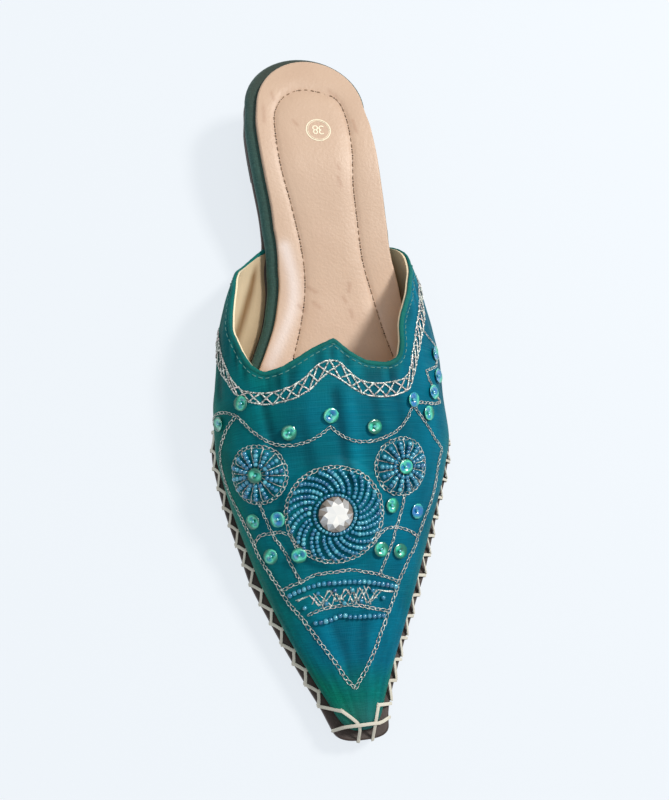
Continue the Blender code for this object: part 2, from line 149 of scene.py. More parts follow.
ROSETTES = (  # station, across, radius
    (0.713, -0.075, rosette_radius), (0.653, -0.340, small_rosette_radius),
    (0.656, 0.199, small_rosette_radius),
)
print(f"{len(SECTIONS)} sections and {len(OUTLINE)} widths")

# %% [markdown]
# ## A curve through a table
#
# The last has no corners between its stations.  A plain spline would swing beyond the rows where a
# column turns, and straight lines would show as kinks in the silk.  A monotone cubic stays between
# its rows and is smooth, and it takes whole arrays of stations at once.

# %% Curve through a column


def curve_through(rows, column, at):
    """Monotone cubic through one column: each stretch blends two heights and two slopes, and a
    slope is the harmonic mean of its neighbours, or none where the column turns."""
    rows = np.asarray(rows, float)
    xs, ys = rows[:, 0], rows[:, column]
    step = np.diff(xs)
    slope = np.diff(ys) / step
    same_way = slope[:-1] * slope[1:] > 0
    before, after = np.where(same_way, slope[:-1], 1.0), np.where(same_way, slope[1:], 1.0)
    w1, w2 = 2 * step[1:] + step[:-1], step[1:] + 2 * step[:-1]
    tangent = np.empty_like(xs)
    tangent[1:-1] = np.where(same_way, (w1 + w2) / (w1 / before + w2 / after), 0.0)
    tangent[0], tangent[-1] = slope[0], slope[-1]
    x = np.clip(np.asarray(at, float), xs[0], xs[-1])
    i = np.clip(np.searchsorted(xs, x, side="right") - 1, 0, len(step) - 1)
    t = (x - xs[i]) / step[i]
    return ((1 + 2 * t) * (1 - t) ** 2 * ys[i] + t * (1 - t) ** 2 * step[i] * tangent[i]
            + t * t * (3 - 2 * t) * ys[i + 1] + t * t * (t - 1) * step[i] * tangent[i + 1])


print("heel line at a quarter of the length:", np.round(curve_through(HEEL_LINE, 1, 0.25), 3))

# %% [markdown]
# ## Four small formulas
#
# Wear, folds and edges fade in over a stretch or stand out as a soft hump.  These formulas say
# where and how far, and they are used again for almost every piece.

# %% Rising, bell, step, length


def rising(value, start, width):
    """Share of the way from start to start + width, kept between 0 and 1.  A width below 0 falls."""
    return np.clip((value - start) / width, 0, 1)


def bell(away, width):
    """A soft hump: e to the power of minus the square of away over width."""
    return np.exp(-(away / width) ** 2)


def soft_step(share):
    """From 0 to 1 without a corner: 3 times the square less 2 times the cube."""
    return share * share * (3 - 2 * share)


def lengths_along(line):
    """How far each point of a line is from its start: the lengths of the steps, added up."""
    return np.concatenate([[0], np.cumsum(np.linalg.norm(np.diff(line, axis=0), axis=1))])


print("a bell at half its width:", np.round(bell(0.5, 1.0), 2))

# %% [markdown]
# ## Heights and widths of the sole
#
# The sole is a curved slab: high under the heel, flat under the ball, a little raised at the toe.
# Its height and its half width are functions of the station, and every piece above it asks them.

# %% The sole's functions


def sole_height(station):
    """Underside of the outsole: the heel's line plus the toe's."""
    share = np.asarray(station) / shoe_length
    return seat_height * curve_through(HEEL_LINE, 1, share) + toe_spring * curve_through(TOE_LINE, 1, share)


def middle(station):
    """How far the sole's middle line stands to the outer side of the axis."""
    return ball_width * curve_through(OUTLINE, 1, np.asarray(station) / shoe_length)


def outsole_half(station):
    """Half the sole's width: a share of the heel's width plus a share of the ball's."""
    share = np.asarray(station) / shoe_length
    return heel_width * curve_through(OUTLINE, 2, share) + ball_width * curve_through(OUTLINE, 3, share)


def feather_half(station):
    """The outsole's half width less the margin that is left outside the upper."""
    left_outside = curve_through(SEATING, 2, np.asarray(station) / shoe_length)
    return outsole_half(station) - sole_margin * left_outside


print(f"the sole stands {sole_height(0.0) / MM:.1f} mm up at the heel")

# %% [markdown]
# ## Layers, and where the last stands
#
# Outsole, board and sock lie on each other with a hair's gap between them, so each layer's height
# is the sum of those below.  The frame tells where the CAD outsole stands, and from its box the
# axis and the back of the heel are found, so nothing is placed by eye.

# %% Layers and place
upper_front = shoe_length - sole_margin
footbed_front = upper_front - wall - lining_room - toe_round / 2
upper_seat = footbed_low = outsole_thickness + fit_gap
footbed_high = footbed_low + footbed_thickness
sock_low = footbed_high + fit_gap
sock_high = sock_low + sock_thickness

# The frame says where the last stands: the back of the heel is the outsole's end
every_station = np.linspace(0, shoe_length, 2000)
heel_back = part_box("outsole")[1].y
axis_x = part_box("outsole")[0].x - (middle(every_station) - outsole_half(every_station)).min()
print(f"heel back at Y {heel_back / MM:.1f} mm, axis at X {axis_x / MM:.1f} mm")


def to_row(points):
    """Shoe measures across, station and up, turned into the row's X, Y and Z."""
    return points * np.array([1.0, -1.0, 1.0]) + np.array([axis_x, heel_back, 0.0])


# %% [markdown]
# ## Meshes from arrays
#
# Most pieces are grids: rows and columns of points with a square between each four.  Blender takes
# such arrays straight with foreach_set, which is far quicker than adding corners one by one.

# %% Squares


def unit(vectors):
    """Arrows of length one: each is divided by its own length."""
    return vectors / np.maximum(np.linalg.norm(vectors, axis=-1, keepdims=True), 1e-12)


def squares(rows, columns, wrap_rows=False, wrap_columns=False):
    """Corner numbers of the squares between neighbouring rows and columns."""
    r, c = np.meshgrid(np.arange(rows if wrap_rows else rows - 1),
                       np.arange(columns if wrap_columns else columns - 1), indexing="ij")
    r2, c2 = (r + 1) % rows, (c + 1) % columns
    return np.stack([r * columns + c, r * columns + c2, r2 * columns + c2, r2 * columns + c],
                    -1).reshape(-1, 4)


print("3 by 4 points carry", len(squares(3, 4)), "squares")

# %% [markdown]
# ## A piece of the shoe
#
# Everything that is added is one kind of thing: points and faces with a finish, which rides on the
# shoe's one body.  It may replace the CAD node it belongs to.  Kept values, such as wear, go with the
# points, and the normals are turned outwards.

# %% Pieces


def into_scene(name, data):
    """An object at the origin, linked to the scene."""
    made = bpy.data.objects.new(name, data)
    bpy.context.scene.collection.objects.link(made)
    return made


def add_piece(name, points, faces, material, slot, replaced=(), uv=None, weld=False, flat=False,
              **values):
    """A mesh in the row frame that rides on the shoe.  Values are numbers kept at each point."""
    mesh = bpy.data.meshes.new(name)
    corners = np.concatenate([f.ravel() for f in faces]).astype(np.int32)
    sizes = np.concatenate([np.full(len(f), f.shape[1]) for f in faces])
    mesh.vertices.add(len(points))
    mesh.vertices.foreach_set("co", to_row(points).astype(np.float32).ravel())
    mesh.loops.add(len(corners))
    mesh.loops.foreach_set("vertex_index", corners)
    mesh.polygons.add(len(sizes))
    mesh.polygons.foreach_set("loop_start", (np.cumsum(sizes) - sizes).astype(np.int32))
    mesh.update(calc_edges=True)
    if uv is not None:
        layer = mesh.uv_layers.new(name="cloth")
        layer.data.foreach_set("uv", uv[corners].astype(np.float32).ravel())
    for key, value in values.items():
        kept = mesh.attributes.new(key, "FLOAT", "POINT")
        kept.data.foreach_set("value", value.astype(np.float32))
    mesh.validate()
    shell = bmesh.new()
    shell.from_mesh(mesh)
    if weld:
        bmesh.ops.remove_doubles(shell, verts=shell.verts, dist=1e-6)
    bmesh.ops.recalc_face_normals(shell, faces=shell.faces)
    shell.to_mesh(mesh)
    shell.free()
    if not flat:
        mesh.shade_smooth()
        mesh.set_sharp_from_angle(angle=math.radians(50))
    mesh.materials.append(material)
    piece = into_scene(name, mesh)
    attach(piece, "root")
    if replaced:
        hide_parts(*replaced)
    print(f"{name}: {len(mesh.vertices)} points, {len(mesh.polygons)} faces")
    return piece


# %% [markdown]
# ## Threads and laces as tubes
#
# A thread is a long round body on a path.  Blender could bevel a curve, but hundreds of stitches
# are quicker as one array: at each step of each path a small ring of corners stands square to it.
# Half width and half height may differ, which makes a ribbon of the same tube.

# %% Tubes along paths


def rope(paths, ups, width, height=None, sides=5, closed=False):
    """Tubes along many paths at once.  At each step a ring of corners stands square to the path:
    centre + width * cos * side + height * sin * up.  Paths are (count, steps, 3)."""
    height = width if height is None else height
    ahead = np.roll(paths, -1, 1) - np.roll(paths, 1, 1) if closed else np.gradient(paths, axis=1)
    ahead = unit(ahead)
    side = unit(np.cross(ahead, ups))
    lift = np.cross(side, ahead)
    turn = np.linspace(0, 2 * np.pi, sides, endpoint=False) + np.pi / sides
    spread = np.broadcast_to(width, paths.shape[:2])[..., None, None] * side[:, :, None]
    raised = np.broadcast_to(height, paths.shape[:2])[..., None, None] * lift[:, :, None]
    rings = paths[:, :, None] + spread * np.cos(turn)[:, None] + raised * np.sin(turn)[:, None]
    count, steps = paths.shape[:2]
    first = np.arange(count)[:, None, None] * steps * sides
    faces = [(squares(steps, sides, closed, True)[None] + first).reshape(-1, 4)]
    if not closed:
        ends = np.stack([np.arange(sides), np.arange(sides) + (steps - 1) * sides])
        faces.append((ends[None] + first).reshape(-1, sides))
    return rings.reshape(-1, 3), faces


straight = np.array([[[0.0, 0.0, 0.0], [0.0, 1.0, 0.0]]])
thread, _ = rope(straight, np.full_like(straight, [0.0, 0.0, 1.0]), 0.1)
print("a thread of two rings has", len(thread), "points")

# %% [markdown]
# ## Beads as stamps
#
# A bead is turned about its hole, so a short profile is enough.  One bead is made and then stamped
# at many places, each with its own axes and size.  Instances would be lighter, but real faces keep
# every bead in the mesh.

# %% Turned shapes, stamps and joining


def turned(profile, sides):
    """Closed turned shape about z from rows of radius and height, with a flat cap at both ends."""
    profile = np.asarray(profile, float)
    turn = np.linspace(0, 2 * np.pi, sides, endpoint=False)
    points = np.stack([profile[:, :1] * np.cos(turn), profile[:, :1] * np.sin(turn),
                       np.repeat(profile[:, 1:], sides, 1)], -1).reshape(-1, 3)
    caps = np.stack([np.arange(sides), np.arange(sides) + (len(profile) - 1) * sides])
    return points, [squares(len(profile), sides, False, True), caps]


def stamp(shape, faces, places, axes, sizes):
    """One small shape at many places: place + size * (x * first axis + y * second + z * third)."""
    points = places[:, None] + np.einsum("nij,pi->npj", axes * sizes[:, None, None], shape)
    first = np.arange(len(places))[:, None, None] * len(shape)
    return points.reshape(-1, 3), [(f[None] + first).reshape(-1, f.shape[1]) for f in faces]


def joined(parts):
    """Several sets of points and faces as one set."""
    points, faces, start = [], [], 0
    for some_points, some_faces in parts:
        faces += [f + start for f in some_faces]
        points.append(some_points)
        start += len(some_points)
    return np.concatenate(points), faces


print("a cone with a blunt tip has", len(turned([(1, 0), (0.2, 1)], 8)[0]), "points")

# %% [markdown]
# ## Node materials
#
# Each finish is a Principled shader with a few nodes for what varies over the surface.  The helper
# adds one node and joins its inputs, so that a finish reads as a short recipe.

# %% New finishes and their nodes


def new_finish(name, colour, roughness, **sockets):
    """A Principled material.  Sockets are set on the shader by their names, spaces as underscores."""
    material = bpy.data.materials.new(name)
    material.use_nodes = True
    shader = material.node_tree.nodes["Principled BSDF"]
    shader.inputs["Base Color"].default_value = (*colour, 1.0)
    shader.inputs["Roughness"].default_value = roughness
    for key, value in sockets.items():
        shader.inputs[key.replace("_", " ")].default_value = value
    return material


def plug(material, socket, value):
    """Give a socket a number, or join it to the output that feeds it."""
    if isinstance(value, bpy.types.NodeSocket):
        material.node_tree.links.new(value, socket)
    else:
        socket.default_value = value


def add_node(material, kind, inputs=None, **settings):
    """One node, its inputs by name or number, as values or as the outputs that feed them."""
    made = material.node_tree.nodes.new(kind)
    for key, value in settings.items():
        setattr(made, key, value)
    for key, value in (inputs or {}).items():
        plug(material, made.inputs[key], value)
    return made


def feed(material, socket, output):
    """Join an output to a socket of the shader."""
    plug(material, material.node_tree.nodes["Principled BSDF"].inputs[socket], output)


# %% [markdown]
# ## Colour that varies
#
# No real cloth or leather has one flat colour.  Noise gives the grain, a ramp turns it into
# colours, and a blend lays one over the other.  Stretching the noise along the threads makes it
# look woven.  This was chosen over pictures, which the part must not carry.

# %% Noise, ramps and blends


def stretched_noise(material, source, scale, detail):
    """Noise whose grains are long or short along each axis: the coordinates are scaled first."""
    scaled = add_node(material, "ShaderNodeMapping", {"Vector": source, "Scale": scale}).outputs["Vector"]
    inputs = {"Vector": scaled, "Scale": 1.0, "Detail": detail}
    return add_node(material, "ShaderNodeTexNoise", inputs).outputs["Fac"]


def even_noise(material, source, scale, detail):
    """Noise whose grains are alike along all axes."""
    return stretched_noise(material, source, (scale, scale, scale), detail)


def ramp(material, factor, *stops):
    """Colours along a factor: each stop is a position and a colour, or one number for a grey."""
    made = add_node(material, "ShaderNodeValToRGB", {"Fac": factor})
    for stop in stops[2:]:
        made.color_ramp.elements.new(stop[0])
    for element, (position, colour) in zip(made.color_ramp.elements, stops):
        element.position = position
        element.color = (*np.broadcast_to(colour, 3).astype(float), 1.0)
    return made.outputs["Color"]


def blend(material, factor, first, second, mode="MIX"):
    """The first colour, and as much of the second over it as the factor says."""
    first, second = (colour if isinstance(colour, bpy.types.NodeSocket) else (*colour, 1.0)
                     for colour in (first, second))
    inputs = {0: factor, 6: first, 7: second}
    return add_node(material, "ShaderNodeMix", inputs, data_type="RGBA", blend_type=mode).outputs[2]


def maths(material, operation, first, second):
    """One sum of two numbers or outputs.  MULTIPLY_ADD also adds the node's own 0.5."""
    return add_node(material, "ShaderNodeMath", {0: first, 1: second}, operation=operation).outputs[0]


# %% [markdown]
# ## Relief and kept values
#
# Fine relief, such as a weave, is too small for faces and is left to Bump nodes.  Where wear or
# tone depends on the place on the shoe, numbers are kept at the mesh's points and read here.

# %% Relief and kept values


def bumped(material, *reliefs):
    """Relief from height and depth pairs, one Bump node after the other."""
    normal = None
    for height, depth in reliefs:
        inputs = {"Height": height, "Distance": depth, "Strength": 1.0}
        if normal is not None:
            inputs["Normal"] = normal
        normal = add_node(material, "ShaderNodeBump", inputs).outputs["Normal"]
    feed(material, "Normal", normal)


def kept_value(material, name):
    """Numbers that add_piece kept at the points of the mesh."""
    return add_node(material, "ShaderNodeAttribute", attribute_name=name).outputs["Fac"]


def object_place(material):
    """The place of a point on the object, in metres."""
    return add_node(material, "ShaderNodeTexCoord").outputs["Object"]


def cloth_place(material):
    """The place of a point on the cloth map, in metres of cloth."""
    return add_node(material, "ShaderNodeTexCoord").outputs["UV"]


# %% [markdown]
# ## Camera
#
# The photograph looks down on the toe, a little from the inner side.  The camera's place and axes
# were worked out from points that can be measured on the shoe.  The camera stands at that same
# place, turned and closer, so that the shoe fills the middle of the picture.

# %% Camera
eye = np.array([-76.1, -106.6, 320.0]) * MM
photo_ahead = np.array([0.0383, 0.3117, -0.9494])
photo_right = np.array([0.9985, -0.0484, 0.0244])
photo_up = np.array([0.0384, 0.9490, 0.3130])
photo_lens, photo_centre = 750.0, (334.5, 400.0)
shoe_in_photo = (482.0, 402.0)
aim = unit(photo_ahead + photo_right * (shoe_in_photo[0] - photo_centre[0]) / photo_lens
           - photo_up * (shoe_in_photo[1] - photo_centre[1]) / photo_lens)
across = unit(photo_right - aim * (photo_right @ aim))
upward = np.cross(across, aim)
photo_height, closer = 800, 1.15


def placed(axes, place):
    """The matrix that stands a thing at its place, its own x, y and z along three axes."""
    return Matrix([(*row, spot) for row, spot in zip(np.stack(axes, 1), place)] + [(0, 0, 0, 1)])


camera_data = bpy.data.cameras.new("camera")
camera_data.sensor_width = 36.0
camera_data.lens = camera_data.sensor_width * photo_lens / photo_height * closer
camera_data.clip_start = 0.01
camera = into_scene("camera", camera_data)
camera.matrix_world = placed([across, upward, -aim], eye)
bpy.context.scene.camera = camera
print(f"lens {camera_data.lens:.1f} mm, eye {eye[2] / MM:.0f} mm above the floor")

# %% [markdown]
# ## Light and floor
#
# The photograph is lit softly from above, with one clear shadow.  A small strong lamp on the outer
# side draws that shadow of the quarter over the sock, a wide weak one fills in, and a pale world
# gives the rest.  The floor glows a little, as white paper does when a camera overexposes it.

# %% Light and floor


def soft_lamp(name, place, target, size, power, colour):
    """A square lamp that faces its target."""
    data = bpy.data.lights.new(name, "AREA")
    data.size, data.energy, data.color = size, power, colour
    back = unit(np.array(place) - np.array(target))
    side = unit(np.cross((0, 0, 1), back))
    into_scene(name, data).matrix_world = placed([side, np.cross(back, side), back], place)


soft_lamp("window", (0.62, 0.30, 1.00), (0, 0, 0.02), 0.22, 12.0, (1.0, 0.98, 0.94))
soft_lamp("ceiling", (-0.25, -0.2, 1.2), (0, 0, 0), 0.9, 3.0, (0.94, 0.97, 1.0))
world = bpy.data.worlds.new("room")
bpy.context.scene.world = world
world.use_nodes = True
background = world.node_tree.nodes["Background"]
background.inputs["Color"].default_value = (0.86, 0.92, 1.0, 1.0)
background.inputs["Strength"].default_value = 0.42
bpy.context.scene.view_settings.view_transform = "Standard"

floor_finish = new_finish("pale floor", (0.12, 0.123, 0.126), 0.9,
                          Emission_Color=(0.87, 0.92, 0.97, 1.0), Emission_Strength=0.83)
floor_mesh = bpy.data.meshes.new("floor")
reach = 3.0
floor_corners = [(-reach, -reach, 0), (reach, -reach, 0), (reach, reach, 0), (-reach, reach, 0)]
floor_mesh.from_pydata(floor_corners, [], [(0, 1, 2, 3)])
floor_mesh.materials.append(floor_finish)
floor = into_scene("floor", floor_mesh)
floor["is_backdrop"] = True
print(f"a floor of {2 * reach:.0f} by {2 * reach:.0f} m and two lamps")

# %% [markdown]
# ## The surface of the upper
#
# The upper is addressed like cloth on a last: girth runs from -1 at the inner bottom edge over the
# crest at 0 to 1 at the outer bottom edge, and station runs along the foot.  From the crest to the
# widest point each section is a quarter ellipse, and below that it turns under to the sole.

# %% Where a point of the upper lies


def upper_surface(girth, station, inset=0.0):
    """Crest + (bulge - crest) * cos across and + sin upwards, then a turn in to the feather line.
    At the toe, width and height shrink by (1 - close^power)^(1/power)."""
    girth, station = np.broadcast_arrays(np.asarray(girth, float), np.asarray(station, float))
    front = upper_front - inset
    station = np.minimum(station, front)
    share = station / shoe_length
    inner = girth < 0
    side = np.where(inner, -1.0, 1.0)
    mid = middle(station)
    feather = mid + side * (feather_half(station) - inset)
    inner_bulge, outer_bulge, inner_height, outer_height, crest_across, crest_height = (
        curve_through(SECTIONS, column, share) for column in range(1, 7))
    bulge = ball_width * np.where(inner, inner_bulge, outer_bulge) - side * inset
    bulge_rise = vamp_rise * np.where(inner, inner_height, outer_height)
    crest = ball_width * crest_across
    crest_rise = vamp_rise * crest_height - inset
    down = np.abs(girth)
    turn = np.pi / 2 * (1 - rising(down, 0, bulge_girth))
    tuck = tuck_angle * rising(down, bulge_girth, 1 - bulge_girth)
    over = down <= bulge_girth
    tucked = (np.cos(tuck) - np.cos(tuck_angle)) / (1 - np.cos(tuck_angle))
    x = np.where(over, crest + (bulge - crest) * np.cos(turn), feather + (bulge - feather) * tucked)
    rise = np.where(over, bulge_rise + (crest_rise - bulge_rise) * np.sin(turn),
                    bulge_rise * (1 - np.sin(tuck) / np.sin(tuck_angle)))
    close = rising(station, front - vamp_round, vamp_round)
    x = mid + (x - mid) * (1 - close ** vamp_plan_power) ** (1 / vamp_plan_power)
    rise = rise * (1 - close ** vamp_side_power) ** (1 / vamp_side_power)
    return np.stack([x, station, sole_height(station) + upper_seat + rise], -1)


print("the crest over the ball, in mm:", np.round(upper_surface(0.0, 160 * MM) / MM, 1))

# %% [markdown]
# ## Collar line and rosettes
#
# The upper ends at the collar, a scalloped line that runs down to the sole on both sides.  Three
# padded rosettes lie on the vamp.  Both are given by girth or by a place in plan, and a place in
# plan is looked up along the surface's own section.

# %% Collar and rosettes


def collar_station(girth):
    """Station of the upper's open edge at a girth."""
    return shoe_length * np.where(girth < 0, curve_through(COLLAR_INNER, 1, -girth),
                                  curve_through(COLLAR_OUTER, 1, girth))


def rosette_centre(station, across_share):
    """The point of the plain surface over a place given in plan."""
    girth = np.linspace(-bulge_girth, bulge_girth, 721)
    line = upper_surface(girth, np.full(girth.shape, station * shoe_length))
    return line[np.argmin(np.abs(line[:, 0] - across_share * ball_width))]


rosette_middles = [(rosette_centre(station, share), radius) for station, share, radius in ROSETTES]
print("rosettes at stations", [round(float(spot[1] / MM), 1) for spot, _ in rosette_middles])

# %% [markdown]
# ## Folds of the silk
#
# Silk that is stretched over a last and stitched down puckers at the collar and creases between the
# rosettes.  A cloth simulation would place folds by chance, so the ones that can be seen were
# measured one by one, as lines with a width and a depth.

# %% Puckers, creases and pads
pucker_depth = 0.26 * MM
CREASES = (  # two ends as girth and station in mm, half width mm, depth mm: troughs, ridges below 0
    (-0.010, 149, 0.020, 176, 1.7, 0.45), (0.035, 150, 0.060, 172, 2.2, -0.30),
    (-0.310, 147, -0.270, 168, 1.6, 0.42), (-0.350, 148, -0.315, 166, 2.0, -0.25),
    (-0.250, 138, -0.235, 144, 1.0, 0.30), (-0.290, 139, -0.280, 145, 0.9, 0.28),
    (-0.200, 137, -0.190, 144, 0.9, 0.22), (-0.150, 158, -0.135, 172, 2.0, 0.25),
    (0.150, 138, 0.155, 144, 0.9, 0.22), (0.195, 138, 0.205, 144, 1.0, 0.24),
    (0.120, 148, 0.150, 163, 2.2, 0.28), (0.215, 145, 0.235, 158, 1.8, 0.22),
    (-0.660, 112, -0.600, 140, 2.2, 0.45), (-0.800, 104, -0.740, 138, 2.4, 0.35),
    (0.520, 105, 0.560, 140, 2.2, 0.40), (0.720, 98, 0.760, 150, 2.6, 0.35),
    (-0.120, 226, -0.060, 240, 2.0, 0.20), (0.080, 224, 0.040, 242, 2.2, 0.22),
    (-0.250, 206, -0.180, 238, 2.6, -0.20), (0.200, 224, 0.130, 244, 2.4, -0.18),
)


def folds(place, girth, station):
    """What the silk does by itself: puckers along the collar, as a sine of the girth in a soft band,
    and creases, each its depth times a bell across its line."""
    from_collar = (station - collar_station(girth)) / MM
    band = bell(from_collar - 4.8, 3.2) * rising(np.abs(girth), 0.75, -0.2)
    uneven_turn = 74 * girth + 2.5 * np.sin(11 * girth) + 1.2 * np.sin(29 * girth)
    lift = pucker_depth * band * np.sin(uneven_turn)
    for girth_a, station_a, girth_b, station_b, half_width, depth in CREASES:
        start, end = upper_surface([girth_a, girth_b], np.array([station_a, station_b]) * MM)
        along = end - start
        share = ((place - start) @ along) / (along @ along)
        nearest = start + np.clip(share, 0, 1)[..., None] * along
        away = np.linalg.norm((place - nearest) * [1, 0.5, 1], axis=-1)
        lift = lift - depth * MM * bell(away, half_width * MM)
    return lift


def relief(place, girth, station):
    """Folds and the padded rosettes, whose tops are flat and whose rims fall in a soft step."""
    pads = np.zeros(place.shape[:-1])
    for middle_point, radius in rosette_middles:
        away = np.linalg.norm(place - middle_point, axis=-1)
        pads = np.maximum(pads, rosette_relief * soft_step(rising(away, radius, -rosette_ramp)))
    return folds(place, girth, station) + pads


print(f"{len(CREASES)} creases by hand, puckers {pucker_depth / MM:.2f} mm deep")

# %% [markdown]
# ## A point on the silk
#
# Thread and beads need more than a place: they need to know which way is out.  The normal comes
# from two small steps on the surface, and the point is then moved along it by the relief.

# %% Points and normals


def upper_normal(girth, station):
    """Outward normal: the cross product of small steps along the girth and along the foot."""
    step_g, step_s = 0.004, 0.3 * MM
    back = np.minimum(station, upper_front - 2 * step_s)
    along_g = upper_surface(girth + step_g, back) - upper_surface(girth - step_g, back)
    along_s = upper_surface(girth, back + step_s) - upper_surface(girth, back - step_s)
    return unit(np.cross(along_g, along_s))


def silk_point(girth, station, lift=0.0):
    """A point on the silk or lifted above it, and the normal there."""
    girth, station = np.broadcast_arrays(np.asarray(girth, float), np.asarray(station, float))
    place = upper_surface(girth, station)
    normal = upper_normal(girth, station)
    return place + normal * (relief(place, girth, station) + lift)[..., None], normal


def pattern_point(pairs, lift=0.0):
    """The same for an array of pairs of girth and station in mm, as the pattern is drawn."""
    return silk_point(pairs[..., 0], pairs[..., 1] * MM, lift)


_, some_normals = pattern_point(np.array([[0.0, 180], [-0.7, 180], [0.7, 180]]))
print("normals at crest, inner and outer side:", np.round(some_normals, 2).tolist())

# %% [markdown]
# ## Silk
#
# The silk is plain woven, with fine cross threads and here and there a thick one.  Its tone runs from
# green at the edges and the toe to blue in the middle.  Its threads could be modelled, but there are
# thousands, so noises on the cloth map draw them.  Tone and wear are kept values of the mesh, and so
# is the painted shading of the folds: painted shade in their troughs, painted light on their ridges.

# %% Silk finish


def silk_finish():
    """Plain-woven silk: fine cross threads, some thick ones, and a tone that runs green to blue."""
    made = new_finish("silk", (0.003, 0.15, 0.18), 0.55, Specular_IOR_Level=0.06,
                      Sheen_Weight=0.03, Sheen_Tint=(0.1, 0.7, 0.8, 1.0))
    cloth = cloth_place(made)
    threads = stretched_noise(made, cloth, (130, 2600, 1), 2.0)
    slubs = stretched_noise(made, cloth, (60, 700, 1), 2.0)
    warp = stretched_noise(made, cloth, (2300, 240, 1), 1.0)
    clouds = stretched_noise(made, cloth, (45, 30, 1), 3.0)
    tone = maths(made, "ADD", kept_value(made, "tone"), maths(made, "MULTIPLY_ADD", clouds, 0.5))
    colour = ramp(made, tone, (0.25, (0.001, 0.152, 0.102)), (0.6, (0.0005, 0.145, 0.148)),
                  (0.95, (0.0003, 0.134, 0.205)))
    patches = stretched_noise(made, cloth, (110, 45, 1), 2.0)
    shade = ramp(made, patches, (0.35, (0.70, 0.70, 0.72)), (0.65, 1.1))
    # Painted shading of the folds: painted shade in troughs and creases, painted light on ridges
    height = maths(made, "MULTIPLY_ADD", kept_value(made, "fold"), 0.5)
    folded = ramp(made, height, (0.0, (0.55, 0.58, 0.60)), (0.5, 1.0), (1.0, 1.3))
    streaks = ramp(made, threads, (0.3, (0.72, 0.76, 0.78)), (0.7, 1.12))
    for share, darker in ((0.8, shade), (1.0, folded), (0.6, streaks)):
        colour = blend(made, share, colour, darker, "MULTIPLY")
    thick = ramp(made, slubs, (0.62, 0.0), (0.78, 1.0))
    colour = blend(made, maths(made, "MULTIPLY", thick, 0.25), colour, (0.02, 0.24, 0.27))
    colour = blend(made, kept_value(made, "worn"), colour, (0.05, 0.14, 0.12))
    feed(made, "Base Color", colour)
    bumped(made, (threads, 0.00014), (warp, 0.00008), (slubs, 0.0002), (clouds, 0.0014))
    return made


silk = silk_finish()
print(f"silk has {len(silk.node_tree.nodes)} nodes")

# %% [markdown]
# ## Leather and book cloth
#
# Leather is smooth with soft clouds and a fine grain, and book cloth is an even weave of warp and
# weft.  Both darken where a kept value says, for wear and soil and for painted shade, and leather can
# take a painted pale sheen as well.  One recipe for each kind serves all its colours.

# %% Leather and cloth finishes


def leather_finish(name, colour, dark, roughness, clouding=0.5, grain=900.0):
    """Smooth leather: clouded colour, dark where the kept value says, and a fine grain."""
    made = new_finish(name, colour, roughness)
    place = object_place(made)
    clouds = even_noise(made, place, 60, 4.0)
    grains = even_noise(made, place, grain, 3.0)
    mixed = blend(made, ramp(made, clouds, (0.35, 0.0), (0.75, clouding)), colour, dark)
    # A pale sheen where the kept value says: a painted highlight
    mixed = blend(made, kept_value(made, "pale"), mixed, (0.86, 0.76, 0.72))
    # Dark where the kept value says: real wear and scuffs, and painted shade
    mixed = blend(made, kept_value(made, "worn"), mixed, dark)
    feed(made, "Base Color", mixed)
    bumped(made, (grains, 0.00010), (clouds, 0.0002))
    return made


def cloth_finish(name, colour, light):
    """Plain book cloth: warp and weft as two crossing noises, light grains and clouds, and dark where the
    kept value of soil and painted shade says.
    """
    made = new_finish(name, colour, 0.85, Sheen_Weight=0.15, Sheen_Roughness=0.5)
    place = object_place(made)
    one = stretched_noise(made, place, (2200, 500, 2200), 2.0)
    other = stretched_noise(made, place, (500, 2200, 500), 2.0)
    clouds = even_noise(made, place, 90, 4.0)
    weave = maths(made, "MULTIPLY", one, other)
    mixed = blend(made, ramp(made, weave, (0.15, 0.0), (0.45, 0.8)), colour, light)
    mixed = blend(made, ramp(made, clouds, (0.5, 0.0), (0.8, 0.5)), mixed, light)
    # Dark where the kept value says: soil, and painted shade
    mixed = blend(made, kept_value(made, "soiled"), mixed, (0.036, 0.030, 0.020))
    feed(made, "Base Color", mixed)
    bumped(made, (weave, 0.0003), (clouds, 0.0004))
    return made


board_cloth = cloth_finish("green cloth", (0.010, 0.070, 0.058), (0.030, 0.135, 0.110))
print(f"cloth has {len(board_cloth.node_tree.nodes)} nodes")

# %% [markdown]
# ## Leathers and rubber
#
# Each of them is made once with its measured colours: a light one and the dark or worn one it turns
# into.

# %% Leather and rubber
lining_leather = leather_finish("lining leather", (0.96, 0.80, 0.54), (0.22, 0.12, 0.045), 0.6, 0.2)
sock_leather = leather_finish("sock leather", (0.60, 0.415, 0.29), (0.34, 0.155, 0.085), 0.45, 0.12)
sole_leather = leather_finish("sole leather", (0.055, 0.032, 0.024), (0.02, 0.013, 0.010), 0.6)
lift_rubber = leather_finish("lift rubber", (0.03, 0.022, 0.018), (0.015, 0.012, 0.010), 0.75)
print(f"{len(bpy.data.materials)} finishes")

# %% [markdown]
# ## The sheet of the upper
#
# The upper is silk over canvas with a leather lining behind it.  Both are thin closed shells
# between two distances from the outside of the last.  The grid runs from the toe, where all columns
# meet, back to the collar line, so its rows follow the cloth.

# %% Grids and shells


def sheet(inset, columns, rows):
    """Girth and station of a grid from the toe's end back to the collar, closer rows at the toe."""
    girth = np.linspace(-1, 1, columns)
    front = upper_front - inset
    closing = front - vamp_round * (1 - np.cos(np.linspace(0, np.pi / 2, 14)))
    along = np.linspace(0, 1, rows + 1)[1:, None]
    station = np.concatenate([np.repeat(closing[:, None], columns, 1),
                              closing[-1] + (collar_station(girth) - closing[-1]) * along])
    return np.broadcast_to(girth, station.shape), station


